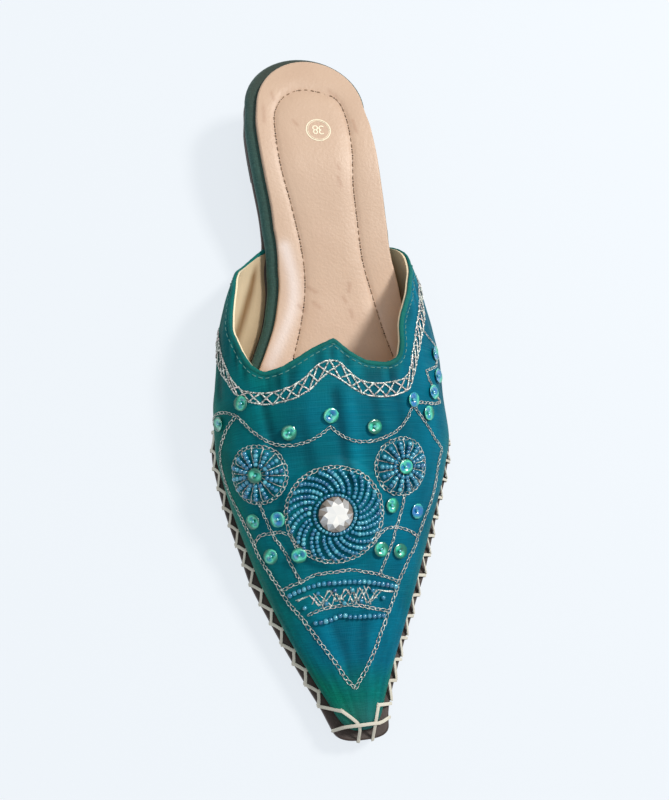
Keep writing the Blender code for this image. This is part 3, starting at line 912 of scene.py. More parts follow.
def shell_faces(rows, columns):
    """Faces of a shell whose rows hold the outside's columns and then the inside's, backwards."""
    last = (rows - 1) * 2 * columns
    rim = last + np.arange(columns)
    back = last + 2 * columns - 1 - np.arange(columns)
    collar = np.stack([rim[:-1], rim[1:], back[1:], back[:-1]], -1)
    return [squares(rows, 2 * columns, False, True), collar]


def both_sides(outer, inner):
    """Rows of a shell: the outside's columns and then the inside's, backwards."""
    return np.concatenate([outer, inner[:, ::-1]], 1)


print("the sheet's grid has", sheet(0.0, 181, 210)[0].size, "points")

# %% [markdown]
# ## The silk shell
#
# The outside carries the relief and the inside is plain.  The cloth map measures along and across
# the silk, so that the weave has the same size everywhere.  Tone, wear and the painted shading of the
# folds are worked out from girth, station and the way to the collar.

# %% Silk on its canvas
silk_depth, cloth_per_girth = 1.1 * MM, 0.062
outer_girth, outer_station = sheet(0.0, 181, 210)
canvas_girth, canvas_station = sheet(silk_depth, 181, 210)
outside, _ = silk_point(outer_girth, outer_station)
behind = upper_surface(canvas_girth, canvas_station, silk_depth)
points = both_sides(outside, behind).reshape(-1, 3)
girth = both_sides(outer_girth, canvas_girth).ravel()
station = both_sides(outer_station, canvas_station).ravel()
from_collar = (station - collar_station(girth)) / MM
tone = 0.22 * np.clip(girth * 1.6 + 0.4, -1, 1)
tone += 0.16 * np.clip(1 - np.abs(station / MM - 231) / 12, 0, 1)
tone -= 0.45 * rising(station / MM, 236, 12)
tone -= 0.34 * rising(np.abs(girth), 0.45, 0.3)
tone -= 0.18 * rising(from_collar, 9, -9)
worn = 0.25 * rising(np.abs(girth), 0.80, 0.2) ** 2 + 0.15 * rising(from_collar, 5, -5) ** 2
worn = worn + 0.4 * rising(station / MM, 249, 8)
# Painted shading of the folds, from their height: painted shade in troughs, painted light on ridges
fold = folds(upper_surface(girth, station), girth, station) / (0.35 * MM)
add_piece("upper_silk", points, shell_faces(*outer_girth.shape), silk, "upper", ["upper"],
          uv=np.stack([girth * cloth_per_girth, station], -1), weld=True, tone=tone, worn=worn,
          fold=np.clip(fold, -1, 1))

# %% [markdown]
# ## The lining
#
# The lining is light leather with painted shade: inside the vamp, on the outer side, along the bend
# to the sole and low down beside the board.  Its foot leans a little inwards along the board, as a
# lasted lining does, so that no gap shows.

# %% Lining
lining_depth, foot_lean = 1.15 * MM, 1.0 * MM
front_girth, front_station = sheet(lining_depth, 121, 140)
back_girth, back_station = sheet(wall, 121, 140)
foot = soft_step(rising(np.abs(back_girth), 0.80, 0.20) * rising(back_station / MM, 84, 20))
lining_front = upper_surface(front_girth, front_station, lining_depth)
lining_back = upper_surface(back_girth, back_station, wall + foot * foot_lean)
points = both_sides(lining_front, lining_back).reshape(-1, 3)
girth = both_sides(front_girth, back_girth).ravel()
station = both_sides(front_station, back_station).ravel() / MM
# Painted shade: along the bend on the inner side, low beside the board, deep in the vamp, outer side
painted_bend_shade = bell(girth + 0.922 - 0.0011 * (station - 84), 0.024)
painted_bend_shade *= rising(station, 83, 6) * rising(station, 130, -12)
painted_foot_shade = rising(np.abs(girth), 0.72, 0.28) ** 1.5
depth = rising(station, 130, 40) + 0.4 * rising(girth, 0.55, 0.25)
# The lining's kept value here is all painted shade
add_piece("upper_lining", points, shell_faces(*front_girth.shape), lining_leather, "upper",
          weld=True, worn=np.clip(0.58 * painted_bend_shade + 0.8 * painted_foot_shade + 0.7 * depth, 0, 1))

# %% [markdown]
# ## Slabs
#
# The outsole, the cloth-covered board and the sock are slabs: the same outline drawn in a little at
# the edges, ring above ring, and closed by a net of squares from side to side.  The net lets the top
# carry shapes, such as the groove in which the sock's stitches lie.

# %% Rings


def both_edges(mid, reach, station, z, ends):
    """A closed ring: the inner side forwards and the outer side back, without its ends."""
    inner = np.column_stack([mid - reach, station, z])
    outer = np.column_stack([mid + reach, station, z])
    return np.concatenate([inner, outer[ends:0:-1]])


def outline_ring(back, front, half, lift, inset, side_steps=150, shift=0.0):
    """The outline drawn in by inset: a half ellipse at the heel and a blunt toe."""
    turn = np.linspace(0, np.pi / 2, 16)
    heel_end = back + inset + (heel_round - inset) * (1 - np.cos(turn))
    toe_end = front - inset - toe_round * (1 - np.sin(turn))
    sides = np.linspace(heel_end[-1], toe_end[0], side_steps + 1)[1:-1]
    station = np.concatenate([heel_end, sides, toe_end])
    heel_way = rising(station, heel_end[-1], inset - heel_round)
    toe_way = rising(station, toe_end[0], toe_round)
    reach = (half(station) - inset) * np.sqrt(1 - heel_way ** 2) * np.cbrt(1 - toe_way ** 3)
    return both_edges(middle(station) + shift, reach, station, sole_height(station) + lift, -2)


print("a ring of the sole has", len(outline_ring(0.0, shoe_length, outsole_half, 0.0, 0.0)), "points")

# %% [markdown]
# ## A slab from rings
#
# A stack of rings is a wall without a top.  A fan of triangles would close it but could carry no
# shape, so rows of squares run across.  The edge is a quarter circle above and one below.

# %% Slab and rounded edge


def slab(rings, across=17, top_shape=None):
    """Rings closed by a net at both ends.  Each row of a net runs from the inner to the outer side.
    The inner side holds half of a ring's points and one more."""
    rings = np.array(rings)
    count = rings.shape[1]
    strip = count // 2 + 1
    parts = [(rings.reshape(-1, 3), [squares(len(rings), count, False, True)])]
    share = np.linspace(0, 1, across)[None, :, None]
    for ring, shape in ((rings[0], None), (rings[-1], top_shape)):
        inner = ring[:strip]
        outer = np.concatenate([ring[:1], ring[strip:][::-1], ring[strip - 1:strip]])[:strip]
        net = inner[:, None] * (1 - share) + outer[:, None] * share
        if shape is not None:
            net[..., 2] += shape(net[..., 0], net[..., 1])
        parts.append((net.reshape(-1, 3), [squares(strip, across)]))
    return joined(parts)


def rounded(low, high, edge, steps):
    """Lift and inset of an edge that is rounded above and below."""
    turn = np.linspace(0, np.pi / 2, steps)
    below = [(low + edge * (1 - math.sin(t)), edge * (1 - math.cos(t))) for t in turn[::-1]]
    above = [(high - edge * (1 - math.sin(t)), edge * (1 - math.cos(t))) for t in turn]
    return below + above


print("a rounded edge has", len(rounded(0.0, 1.0, 0.2, 4)), "levels")

# %% [markdown]
# ## The outsole
#
# A plate of dark leather, cut square and rounded a little at both edges.  It is worn darker under
# the ball, which a bell over the station keeps as a value.

# %% Outsole
outsole_edge = 0.7 * MM
points, faces = slab([outline_ring(0.0, shoe_length, outsole_half, lift, inset)
                      for lift, inset in rounded(0.0, outsole_thickness, outsole_edge, 4)])
tread = bell(points[:, 1] / MM - 175, 42) * (points[:, 2] < 2 * MM)
add_piece("outsole_leather", points, faces, sole_leather, "outsole", ["outsole"], weld=True,
          worn=0.6 * tread)

# %% [markdown]
# ## The board
#
# The board is wrapped in green cloth and shows a round edge all round the open back.  Beside the
# quarters it runs close to the lining.  Its cloth is darker towards the back of the heel, and its top
# edge carries painted shade beside the sock.

# %% Board
BOARD_EDGE = (  # station share, upper present, room between board and lining in mm
    (0.000, 0.0, 0.35), (0.272, 0.0, 0.35), (0.330, 1.0, 0.60),
    (0.400, 1.0, 1.20), (0.480, 1.0, 1.40), (1.000, 1.0, 1.40),
)


def board_half(station):
    """Half width of the wrapped board; beside the open back it runs on to where the upper starts."""
    share = np.asarray(station) / shoe_length
    present, room = curve_through(BOARD_EDGE, 1, share), curve_through(BOARD_EDGE, 2, share) * MM
    return feather_half(station) - present * (wall + room) + (1 - present) * footbed_overhang


board_levels = [(footbed_low + footbed_thickness * (1 - math.cos(turn)) / 2,
                 footbed_edge * (1 - math.sin(turn))) for turn in np.linspace(0, np.pi, 13)]
points, faces = slab([outline_ring(-footbed_overhang, footbed_front, board_half, lift, inset)
                      for lift, inset in board_levels])
lift = (points[:, 2] - sole_height(points[:, 1]) - footbed_low) / footbed_thickness
# Darker towards the back of the heel, and painted shade on the top edge beside the sock
soiled = 0.42 * rising(points[:, 1] / MM, 42, -40) + 0.36 * rising(lift, 0.8, 0.2)
add_piece("board_cloth", points, faces, board_cloth, "footbed", ["footbed"], weld=True,
          soiled=np.clip(soiled, 0, 1))

# %% [markdown]
# ## The sock's outline
#
# The sock is a leather cover on the board.  A line of stitches pulls it down in an oval groove, and
# where the heel has turned it lies in small wrinkles.  The oval is drawn through measured points
# and the groove is a bell of the way to it, so the stitches will lie in it later.

# %% Outline and oval of the sock
sock_margin = (sock_inner_margin + sock_outer_margin) / 2
sock_shift = (sock_inner_margin - sock_outer_margin) / 2


def sock_half(station):
    """Half width of the sock, whose own middle is shifted to the outer side."""
    return board_half(station) - sock_margin


SOCK_OVAL = (  # station and across in mm along the stitched line of the sock
    (125, -12.8), (108, -7.8), (94, -5.6), (81, -6.3), (65, -9.4), (48, -13.4), (31, -14.6), (24, -13.1),
    (19, -9.3), (16, -2.3), (17, 5.4), (20, 11.9), (28, 15.0), (41, 16.2), (55, 15.8), (67, 16.7),
    (84, 18.2), (97, 21.3), (112, 24.9), (124, 28.5),
)
print(f"the sock is set in by {sock_margin / MM:.1f} mm and over by {-sock_shift / MM:.1f}")

# %% [markdown]
# ## A curve through measured places
#
# The oval and all embroidery follow places measured one by one.  A curve that passes through each
# of them needs no handles, so it is drawn here from four neighbours at a time.

# %% Curve and groove


def catmull_rom(points, steps):
    """A curve through all points: each stretch leaves its point along the line of its neighbours."""
    points = np.asarray(points, float)
    padded = np.concatenate([2 * points[:1] - points[1:2], points, 2 * points[-1:] - points[-2:-1]])
    t = np.linspace(0, 1, steps, endpoint=False)[None, :, None]
    a, b, c, d = (padded[i:len(padded) - 3 + i, None] for i in range(4))
    curve = 0.5 * (2 * b + (c - a) * t + (2 * a - 5 * b + 4 * c - d) * t ** 2
                   + (3 * b - a - 3 * c + d) * t ** 3)
    return np.concatenate([curve.reshape(-1, points.shape[1]), points[-1:]])


def away_from(x, station, line):
    """How far places on the sole's plan are from a line of across and station."""
    return np.min(np.hypot(x[..., None] - line[:, 0], station[..., None] - line[:, 1]), -1)


oval = catmull_rom(SOCK_OVAL, 12)[:, ::-1] * MM


def sock_shape(x, station):
    """The groove along the stitches, and small wrinkles where the heel has turned."""
    away = away_from(x, station, oval)
    groove = -0.45 * MM * bell(away, 1.0 * MM) - 0.40 * MM * bell(away, 3.6 * MM)
    wrinkle = 0.25 * MM * np.sin((x * 0.5 + station) / (0.9 * MM))
    return groove + wrinkle * bell(x / MM - 9, 5) * bell(station / MM - 19.5, 3)


print(f"the oval has {len(oval)} points")

# %% [markdown]
# ## The sock
#
# The slab's top is a fine net that takes the groove.  Soft lines are drawn on it: a pale streak of
# painted sheen, small scuffs of wear, and painted shade along the groove and inside the vamp.

# %% Sock
SOCK_LEVELS = (  # lift and inset of the rings, from the board to the rounded top
    (sock_low, 0.0), (sock_high - 0.8 * MM, 0.0), (sock_high - 0.3 * MM, 0.15 * MM),
    (sock_high - 0.05 * MM, 0.5 * MM), (sock_high, 0.8 * MM),
)
sock_front = footbed_front - sock_toe_margin
points, faces = slab([outline_ring(sock_back_margin, sock_front, sock_half, lift, inset, 210, sock_shift)
                      for lift, inset in SOCK_LEVELS], 81, sock_shape)
# Painted sheen: a pale highlight streak along the inner side of the sock
PAINTED_SHEEN_STREAK = ((80, -13.0), (85, -11.7), (94, -10.3), (103, -11.3), (114, -15.8), (125, -21.1))


def near_line(points, line, half_width):
    """A bell across a line given as stations and across in mm, on the plan of the sole."""
    spots = catmull_rom(line, 10)[:, ::-1] * MM
    return bell(away_from(points[:, 0], points[:, 1], spots), half_width * MM)


SCUFFS = (((95, -4.5), (97, -1.5)), ((94, 12.3), (97, 11.8)), ((101, -2.8), (103, -0.4)),
          ((102, -8.8), (104, -6.6)), ((99, 9.2), (101, 10.4)), ((104, 12.0), (107, 12.6)),
          ((29, 17.5), (34, 18.5)), ((24, -18.5), (31, -18.8)), ((30.5, -7.0), (32.0, -5.6)),
          ((16.5, 9.0), (19.8, 12.8)), ((48.5, 9.5), (50.0, 10.3)), ((53.0, 9.6), (56.5, 10.6)),
          ((18.5, -15.0), (20.5, -14.2)))
scuffed = sum(near_line(points, line, 0.7) for line in SCUFFS)
# Painted shade towards the front under the vamp, real scuffs, and painted shade along the groove
worn = 0.6 * rising(points[:, 1] / MM, 118, 30) + 0.36 * scuffed
worn += 0.12 * bell(away_from(points[:, 0], points[:, 1], oval), 1.1 * MM)
# The pale value paints a sheen highlight
add_piece("sock_leather", points, faces, sock_leather, "insole_sock", ["insole_sock"], weld=True,
          worn=np.clip(worn, 0, 1), pale=0.6 * near_line(points, PAINTED_SHEEN_STREAK, 2.6))

# %% [markdown]
# ## Heel
#
# The heel block shrinks from the seat to the top lift, hollowed a little, and is covered in the same
# cloth as the board.  It is a stack of rings with a straight breast in front.

# %% Rings of the heel


def heel_ring(narrowing, down, inset=0.0):
    """Ring of the block, 0 under the seat and 1 at the top lift, shrunk by narrowing."""
    back = heel_round * (1 - np.cos(np.linspace(0, np.pi / 2, 24)))
    station = np.concatenate([back, np.linspace(heel_round, heel_breast, 14)[1:]])
    to_round = rising(station, heel_round, -heel_round)
    width = 1 + (heel_base_width / heel_width - 1) * narrowing
    length = 1 + (heel_base_length / heel_breast - 1) * narrowing
    reach = np.maximum(outsole_half(station) * np.sqrt(1 - to_round ** 2) * width - inset, 0)
    along = heel_back_rake * narrowing + station * length
    along = np.clip(along, along[0] + inset, along[-1] - inset)
    seat = sole_height(station) - fit_gap
    z = seat + (top_lift_thickness + fit_gap - seat) * down
    return both_edges(middle(station), reach, along, z, None)


print("a ring of the heel has", len(heel_ring(0.0, 0.0)), "points")

# %% [markdown]
# ## The covered heel
#
# The cloth follows the hollow of the block.  The hollow is a power of the height, and the cloth is
# darker near the floor.

# %% Covered heel
points, faces = slab([heel_ring(1 - (1 - down) ** heel_hollow, down) for down in np.linspace(1, 0, 15)], 9)
# The kept value darkens the cloth a little everywhere and more towards the floor
add_piece("heel_cloth", points, faces, board_cloth, "heel", ["heel"], weld=True,
          soiled=0.1 + 0.4 * np.clip(1 - points[:, 2] / (8 * MM), 0, 1))

# %% [markdown]
# ## The top lift
#
# The top lift is a plate of rubber with a small bevel below.  It is the heel's last ring, stood up
# straight.

# %% Top lift
LIFT_LEVELS = ((0.0, lift_edge), (0.15 * MM, 0.15 * MM), (lift_edge, 0.0), (top_lift_thickness, 0.0))
points, faces = slab([heel_ring(1.0, 1.0, inset) * [1, 1, 0] + [0, 0, height]
                      for height, inset in LIFT_LEVELS], 9)
add_piece("lift_rubber", points, faces, lift_rubber, "top_lift", ["top_lift"], weld=True)

# %% [markdown]
# ## The stone
#
# A round, foil-backed stone sits flat on the pad of the large rosette.  It is cut as a brilliant
# crown: a flat table, a star of facets round it painted bright, and facets painted darker down to a
# short girdle.

# %% Where the stone sits


def rosette_frame(station, share):
    """Centre on the plain silk and three axes: to the outer side, to the toe, and outwards."""
    centre = rosette_centre(station, share)
    ahead = rosette_centre(station + stone_radius / shoe_length, share) - centre
    sideways = rosette_centre(station, share + stone_radius / ball_width) - centre
    normal = unit(np.cross(sideways, ahead))
    sideways = unit(sideways)
    return centre, np.array([sideways, np.cross(normal, sideways), normal])


big_centre, big_axes = rosette_frame(ROSETTES[0][0], ROSETTES[0][1])
stone_base = big_centre + big_axes[2] * (rosette_relief + stone_seat)
print("axes of the large rosette:", np.round(big_axes, 2).tolist())

# %% [markdown]
# ## Facets of the stone
#
# A cut stone is all flat faces, so it is built face by face from four rings of corners.  Refraction
# would be slow and would need a real cavity below, so each facet has a painted brightness of its
# own instead, with some chance in it: painted highlights and reflections.

# %% Rings and facets
table_sides, girdle_height = 9, 1.25
even_turn = np.linspace(0, 2 * np.pi, table_sides, endpoint=False)


def stone_ring(radius, height, half):
    """Corners of one level of the cut, turned by half a facet where asked."""
    at = even_turn + half * np.pi / table_sides
    return np.stack([radius * np.cos(at), radius * np.sin(at), np.full(table_sides, height)], -1) * MM


table, star = stone_ring(3.4, 2.8, 0), stone_ring(4.6, 2.4, 1)
girdle_a, girdle_b = (stone_ring(6.1, girdle_height, half) for half in (0, 1))
after_table, before_star = np.roll(table, -1, 0), np.roll(star, 1, 0)
facets = [np.stack([table, after_table, star], 1), np.stack([table, star, girdle_a], 1),
          np.stack([table, girdle_a, before_star], 1), np.stack([star, girdle_b, girdle_a], 1),
          np.stack([star, np.roll(girdle_a, -1, 0), girdle_b], 1),
          np.stack([table, after_table, np.broadcast_to([0, 0, 2.8 * MM], table.shape)], 1)]
# Painted light of each kind of facet
painted_facet_light = [0.9, 0.42, 0.34, 0.12, 0.20, 1.0]
drop = [0, 0, -girdle_height * MM]
here = np.stack([girdle_a, girdle_b], 1).reshape(-1, 3)
there = np.roll(here, -1, 0)
facets += [np.stack([here, there, there + drop], 1), np.stack([here, there + drop, here + drop], 1),
           np.stack([there + drop, here + drop, np.zeros_like(here)], 1)]
painted_facet_light += [0.1, 0.1, 0.1]
# Each facet's tint is its painted light, with some chance in it
tint = np.concatenate([light + 0.36 * (chance.random(len(some)) - 0.5)
                       for light, some in zip(painted_facet_light, facets)])
corners = np.concatenate(facets).reshape(-1, 3)
print(f"{len(corners) // 3} facets")

# %% [markdown]
# ## The stone on its pad
#
# The facets are turned into the rosette's own axes and set on the pad.  Their painted light gives
# brown in the dark faces and near white in the bright ones.

# %% Stone
# The ramp turns each facet's painted light into colour: brown when dark, near white when bright
stone_finish = new_finish("stone", (0.72, 0.72, 0.70), 0.10, Coat_Weight=1.0)
feed(stone_finish, "Base Color", ramp(stone_finish, kept_value(stone_finish, "tint"),
                                      (0.0, (0.10, 0.075, 0.055)), (0.25, (0.29, 0.25, 0.21)),
                                      (0.55, (0.60, 0.63, 0.66)), (1.0, (0.95, 0.92, 0.86))))
add_piece("stone", stone_base + corners @ big_axes, [np.arange(len(corners)).reshape(-1, 3)],
          stone_finish, "centre_stone", ["centre_stone"], flat=True,
          tint=np.repeat(np.clip(tint, 0, 1), 3))
print(f"stone stands at station {big_centre[1] / MM:.1f} mm")

# %% [markdown]
# ## Places along a line on the silk
#
# An embroiderer draws the pattern on the silk first and then counts stitches along it.  The same is
# done here: a curve is drawn through pairs of girth and station, its length is measured on the
# surface, and stitches or beads are set at even lengths with their own axes.

# %% Measured lines


def measured(points, steps=14):
    """A smooth curve through girth and station pairs, and the length from its start."""
    curve = catmull_rom(points, steps)
    return curve, lengths_along(pattern_point(curve)[0])


def at_length(curve, length, wanted):
    """Each column of the curve, read off at the wanted lengths."""
    return np.stack([np.interp(wanted, length, column) for column in curve.T], -1)


def silk_axes(curve, lift=0.0):
    """Places on the silk and three axes at each: ahead, to the side and outwards."""
    place, normal = pattern_point(curve, lift)
    side = unit(np.cross(normal, np.gradient(place, axis=0)))
    return place, np.stack([np.cross(side, normal), side, normal], 1)


def even_places(strokes, pitch, lift=0.0):
    """Places and axes at an even pitch along several strokes."""
    found = []
    for stroke in strokes:
        curve, length = measured(stroke)
        count = max(2, int(round(length[-1] / (pitch * MM))))
        wanted = (np.arange(count) + 0.5) * length[-1] / count
        found.append(silk_axes(at_length(curve, length, wanted), lift))
    return np.concatenate([place for place, _ in found]), np.concatenate([axes for _, axes in found])


print(f"over the ball the silk is {measured([(-1.0, 180.0), (1.0, 180.0)])[1][-1] / MM:.0f} mm wide")

# %% [markdown]
# ## Back from a place to girth and station
#
# Rosettes and the line beside the collar are easier to draw in space than on the cloth.  To sew
# them on, their girth and station are needed, and a few steps of least squares find them.

# %% Footprints and turned axes


def footprint(points, girth, station):
    """Girth and station of points near the silk: steps of least squares along both directions."""
    for _ in range(7):
        under = upper_surface(girth, station)
        by_g = (upper_surface(girth + 0.001, station) - under) / 0.001
        by_s = (upper_surface(girth, station + 0.1 * MM) - under) / (0.1 * MM)
        miss = points - under
        gg, gs, ss = (by_g * by_g).sum(-1), (by_g * by_s).sum(-1), (by_s * by_s).sum(-1)
        gm, sm = (by_g * miss).sum(-1), (by_s * miss).sum(-1)
        size = gg * ss - gs * gs
        girth = girth + (ss * gm - gs * sm) / size
        station = station + (gg * sm - gs * gm) / size
    return np.stack([girth, station / MM], -1)


def turned_axes(axes, angle):
    """Axes turned about their outward one."""
    c, s = np.cos(angle)[:, None], np.sin(angle)[:, None]
    return np.stack([c * axes[:, 0] + s * axes[:, 1], c * axes[:, 1] - s * axes[:, 0], axes[:, 2]], 1)


stone_spot = footprint(big_centre, np.array(0.0), big_centre[1])
print("the stone sits at girth and station", np.round(stone_spot, 2).tolist())

# %% [markdown]
# ## Thread, bead and lace finishes
#
# The embroidery yarn is a thin metal strip wound on cotton: it glints silver in one place and looks
# grey or pink in the next.  Beads are coloured glass, sequins are cupped plastic with a pearly coat.

# %% Yarn and tinted finishes


def yarn_finish():
    """Metal strip on cotton: dark and bright grains, in a slowly changing grey or pink."""
    made = new_finish("silver yarn", (0.5, 0.5, 0.48), 0.42, Metallic=0.35)
    place = object_place(made)
    glints = even_noise(made, place, 1500, 2.0)
    hues = even_noise(made, place, 420, 1.0)
    pale = ramp(made, hues, (0.50, (0.94, 0.96, 0.90)), (0.66, (0.92, 0.78, 0.76)))
    colour = ramp(made, glints, (0.36, 0.15), (0.48, (0.52, 0.54, 0.51)), (0.60, (1.0, 1.0, 0.97)))
    feed(made, "Base Color", blend(made, 1.0, colour, pale, "MULTIPLY"))
    bumped(made, (even_noise(made, place, 3800, 1.0), 0.0002))
    return made


def tinted_finish(name, roughness, *stops, **sockets):
    """A finish whose colour is picked per piece by the kept tint."""
    made = new_finish(name, stops[0][1], roughness, **sockets)
    feed(made, "Base Color", ramp(made, kept_value(made, "tint"), *stops))
    return made


yarn = yarn_finish()
print(f"yarn has {len(yarn.node_tree.nodes)} nodes")

# %% [markdown]
# ## Colours of the small things
#
# Beads run from deep blue to a pale glint, and sequins from green over a pearly white to blue.
# Their colour is picked bead by bead by a kept tint, which on a sequin also carries painted light.
# Threads and print are too thin for more than one colour.

# %% Small finishes
bead_glass = tinted_finish("bead glass", 0.20,
                           (0.0, (0.002, 0.10, 0.23)), (0.5, (0.004, 0.21, 0.35)),
                           (1.0, (0.12, 0.52, 0.60)),
                           Coat_Weight=1.0, Coat_Roughness=0.14, Coat_IOR=1.75)
sequin_pearl = tinted_finish("sequin pearl", 0.25,
                             (0.0, (0.002, 0.17, 0.11)), (0.25, (0.01, 0.38, 0.22)),
                             (0.45, (0.10, 0.74, 0.48)), (0.65, (0.01, 0.36, 0.40)),
                             (1.0, (0.01, 0.18, 0.48)),
                             Coat_Weight=1.0, Coat_Roughness=0.18, Coat_IOR=1.8)
lace_cotton = leather_finish("lace", (0.68, 0.64, 0.53), (0.36, 0.30, 0.23), 0.75, grain=1600.0)
dull_thread = new_finish("dull thread", (0.10, 0.27, 0.24), 0.6)
brown_thread = new_finish("brown thread", (0.29, 0.185, 0.115), 0.8)
# Painted shade inside the needle holes
painted_hole_shade = new_finish("needle hole", (0.05, 0.03, 0.02), 0.9)
gold_print = new_finish("gold print", (0.93, 0.84, 0.62), 0.4)
print("finishes:", ", ".join(sorted(finish.name for finish in bpy.data.materials)))


def add_small(name, parts, material, slot, tints=None, **settings):
    """Many small shapes as one piece.  Every shape has its own tint at all of its points."""
    points, faces = joined(parts)
    if tints is not None:
        settings["tint"] = np.repeat(tints, len(points) // len(tints))
    return add_piece(name, points, faces, material, slot, **settings)


# %% [markdown]
# ## Collar
#
# The silk is turned over at the collar, which leaves a soft rolled edge, and is held by a row of
# silver running stitches close beside it.

# %% Rolled edge
collar_girth = np.linspace(-1, 1, 1501)
collar_line = np.stack([collar_girth, collar_station(collar_girth) / MM], -1)
edge_steps, edge_sides, edge_depth = 420, 12, 0.5 * MM
edge_place = upper_surface(collar_girth, collar_station(collar_girth), edge_depth)
edge_length = lengths_along(edge_place)
even = at_length(collar_line, edge_length, np.linspace(0, edge_length[-1], edge_steps))
even_girth, even_station = even[:, 0], even[:, 1] * MM
edge = upper_surface(even_girth, even_station, edge_depth)
edge_ahead = unit(np.gradient(edge, axis=0))
edge_inward = unit(np.cross(upper_normal(even_girth, even_station), edge_ahead))
roll_size = 1 + 0.07 * np.sin(np.arange(edge_steps) * 0.9) * chance.random(edge_steps)
points, faces = rope((edge + edge_inward * 0.55 * MM)[None], edge_inward[None], 0.72 * MM * roll_size,
                     0.95 * MM * roll_size, edge_sides)
add_piece("rolled_edge", points, faces, silk, "upper",
          uv=np.repeat(np.stack([even_girth * cloth_per_girth, even_station], -1), edge_sides, 0),
          tone=np.full(len(points), -0.30), worn=np.full(len(points), 0.15),
          fold=np.zeros(len(points)))
print(f"the collar is {edge_length[-1] / MM:.0f} mm long")

# %% [markdown]
# ## Running stitches
#
# A single dull thread runs in and out of the silk beside the edge.  Each stitch is a short tube
# that dives in at both ends, and its length varies a little, as by hand.

# %% Running stitches


def beside_collar(distance, low, high):
    """The line that runs inside the collar at a distance in mm, as girth and station.  Its ends pass
    the sole's edge, where there is no silk to find, and the limits in girth leave them out."""
    line = upper_surface(even_girth, even_station) + edge_inward * distance * MM
    found = footprint(line, even_girth, even_station)
    return found[(found[:, 0] > low) & (found[:, 0] < high)]


def dashes(strokes, pitch, share, radius, flat=1.0, sides=5, steps=2):
    """Stitches that dive into the silk at both ends, one after another along the strokes."""
    parts = []
    for stroke in strokes:
        curve, length = measured(stroke, steps)
        count = max(2, int(round(length[-1] / (pitch * MM))))
        start = np.arange(count)[:, None] * length[-1] / count
        share_each = share * (1 + 0.10 * (chance.random((count, 1)) - 0.5))
        wanted = start + length[-1] / count * share_each * np.linspace(0, 1, 6)
        wanted += 0.05 * pitch * MM * (chance.random((count, 1)) - 0.5)
        found = at_length(curve, length, wanted)
        found[..., 1] += 0.18 * (chance.random((count, 1)) - 0.5)
        arch = np.array([-0.5, 0.7, 0.95, 0.95, 0.7, -0.5]) * radius * MM
        paths, ups = pattern_point(found, arch)
        parts.append(rope(paths, ups, radius * flat * MM, radius * MM, sides))
    return parts


stitch_line = beside_collar(2.1, -0.88, 0.93)
add_small("collar_stitches", dashes([stitch_line], 2.5, 0.58, 0.16), dull_thread, "upper")

# %% [markdown]
# ## Lattice braid
#
# Two back-stitched lines follow the collar, and thick crossing strands fill the space between them.

# %% Lines of the lattice, as girth and station in mm
LATTICE_TOP = (
    ((-0.930, 97.0), (-0.86, 104.5), (-0.79, 112.0), (-0.70, 119.5),
     (-0.615, 126.5), (-0.560, 130.9), (-0.490, 137.4), (-0.422, 142.5), (-0.343, 145.0), (-0.265, 145.8),
     (-0.193, 145.0), (-0.137, 142.8), (-0.093, 139.6), (-0.052, 137.4), (-0.025, 137.1)),
    ((-0.025, 137.1), (0.010, 137.8), (0.045, 141.2), (0.080, 144.0), (0.133, 145.0), (0.190, 144.5),
     (0.248, 142.9), (0.282, 140.4), (0.300, 137.1), (0.315, 132.3), (0.340, 127.2), (0.373, 121.4),
     (0.427, 114.2), (0.485, 107.5), (0.56, 99.5), (0.65, 92.5), (0.75, 87.5)),
)
LATTICE_LOW = (
    ((-0.950, 103.0), (-0.88, 109.5), (-0.81, 117.0), (-0.735, 124.0),
     (-0.662, 129.6), (-0.520, 138.1), (-0.448, 144.0), (-0.372, 147.5), (-0.300, 149.4), (-0.232, 149.4),
     (-0.172, 148.6), (-0.112, 146.4), (-0.065, 142.9), (-0.035, 141.2)),
    ((-0.035, 141.2), (0.005, 143.3), (0.048, 146.5), (0.090, 148.7), (0.143, 149.4), (0.200, 148.9),
     (0.250, 147.3), (0.282, 145.5), (0.302, 142.3), (0.330, 136.7), (0.353, 131.8), (0.383, 126.5),
     (0.415, 122.6), (0.465, 116.7), (0.508, 110.5), (0.58, 103.5), (0.67, 96.5), (0.77, 91.5)),
)
print(f"{sum(len(line) for line in LATTICE_TOP + LATTICE_LOW)} measured points")

# %% [markdown]
# ## Crossing strands
#
# Between the two lines one strand falls and one climbs in every cell, and the climbing one lies on
# top.  Their ends are moved a little by chance, because real couching is never even.

# %% Strands


def crossing_strands(top, low, pitch, radius):
    """In each cell one strand falls from the top line to the low one and one climbs back."""
    upper_line, length = measured(top)
    lower_line, low_length = measured(low)
    count = int(round(length[-1] / (pitch * MM)))
    share = np.linspace(0, 1, count + 1)
    a = at_length(upper_line, length, share * length[-1])
    b = at_length(lower_line, low_length, share * low_length[-1])
    starts, ends = np.concatenate([a[:-1], b[:-1]]), np.concatenate([b[1:], a[1:]])
    starts, ends = (spot + (chance.random(spot.shape) - 0.5) * [0.006, 0.5] for spot in (starts, ends))
    t = np.linspace(-0.04, 1.04, 7)[None, :, None]
    found = starts[:, None] * (1 - t) + ends[:, None] * t
    arch = np.array([-0.4, 0.9, 1.2, 1.3, 1.2, 0.9, -0.4]) * radius * MM
    over = np.repeat([0.0, 0.9 * radius * MM], count)[:, None]
    arch = arch + over * np.sin(np.pi * np.clip(t[..., 0], 0, 1))
    paths, ups = pattern_point(found, arch)
    return rope(paths, ups, radius * 1.2 * MM, radius * MM, 6)


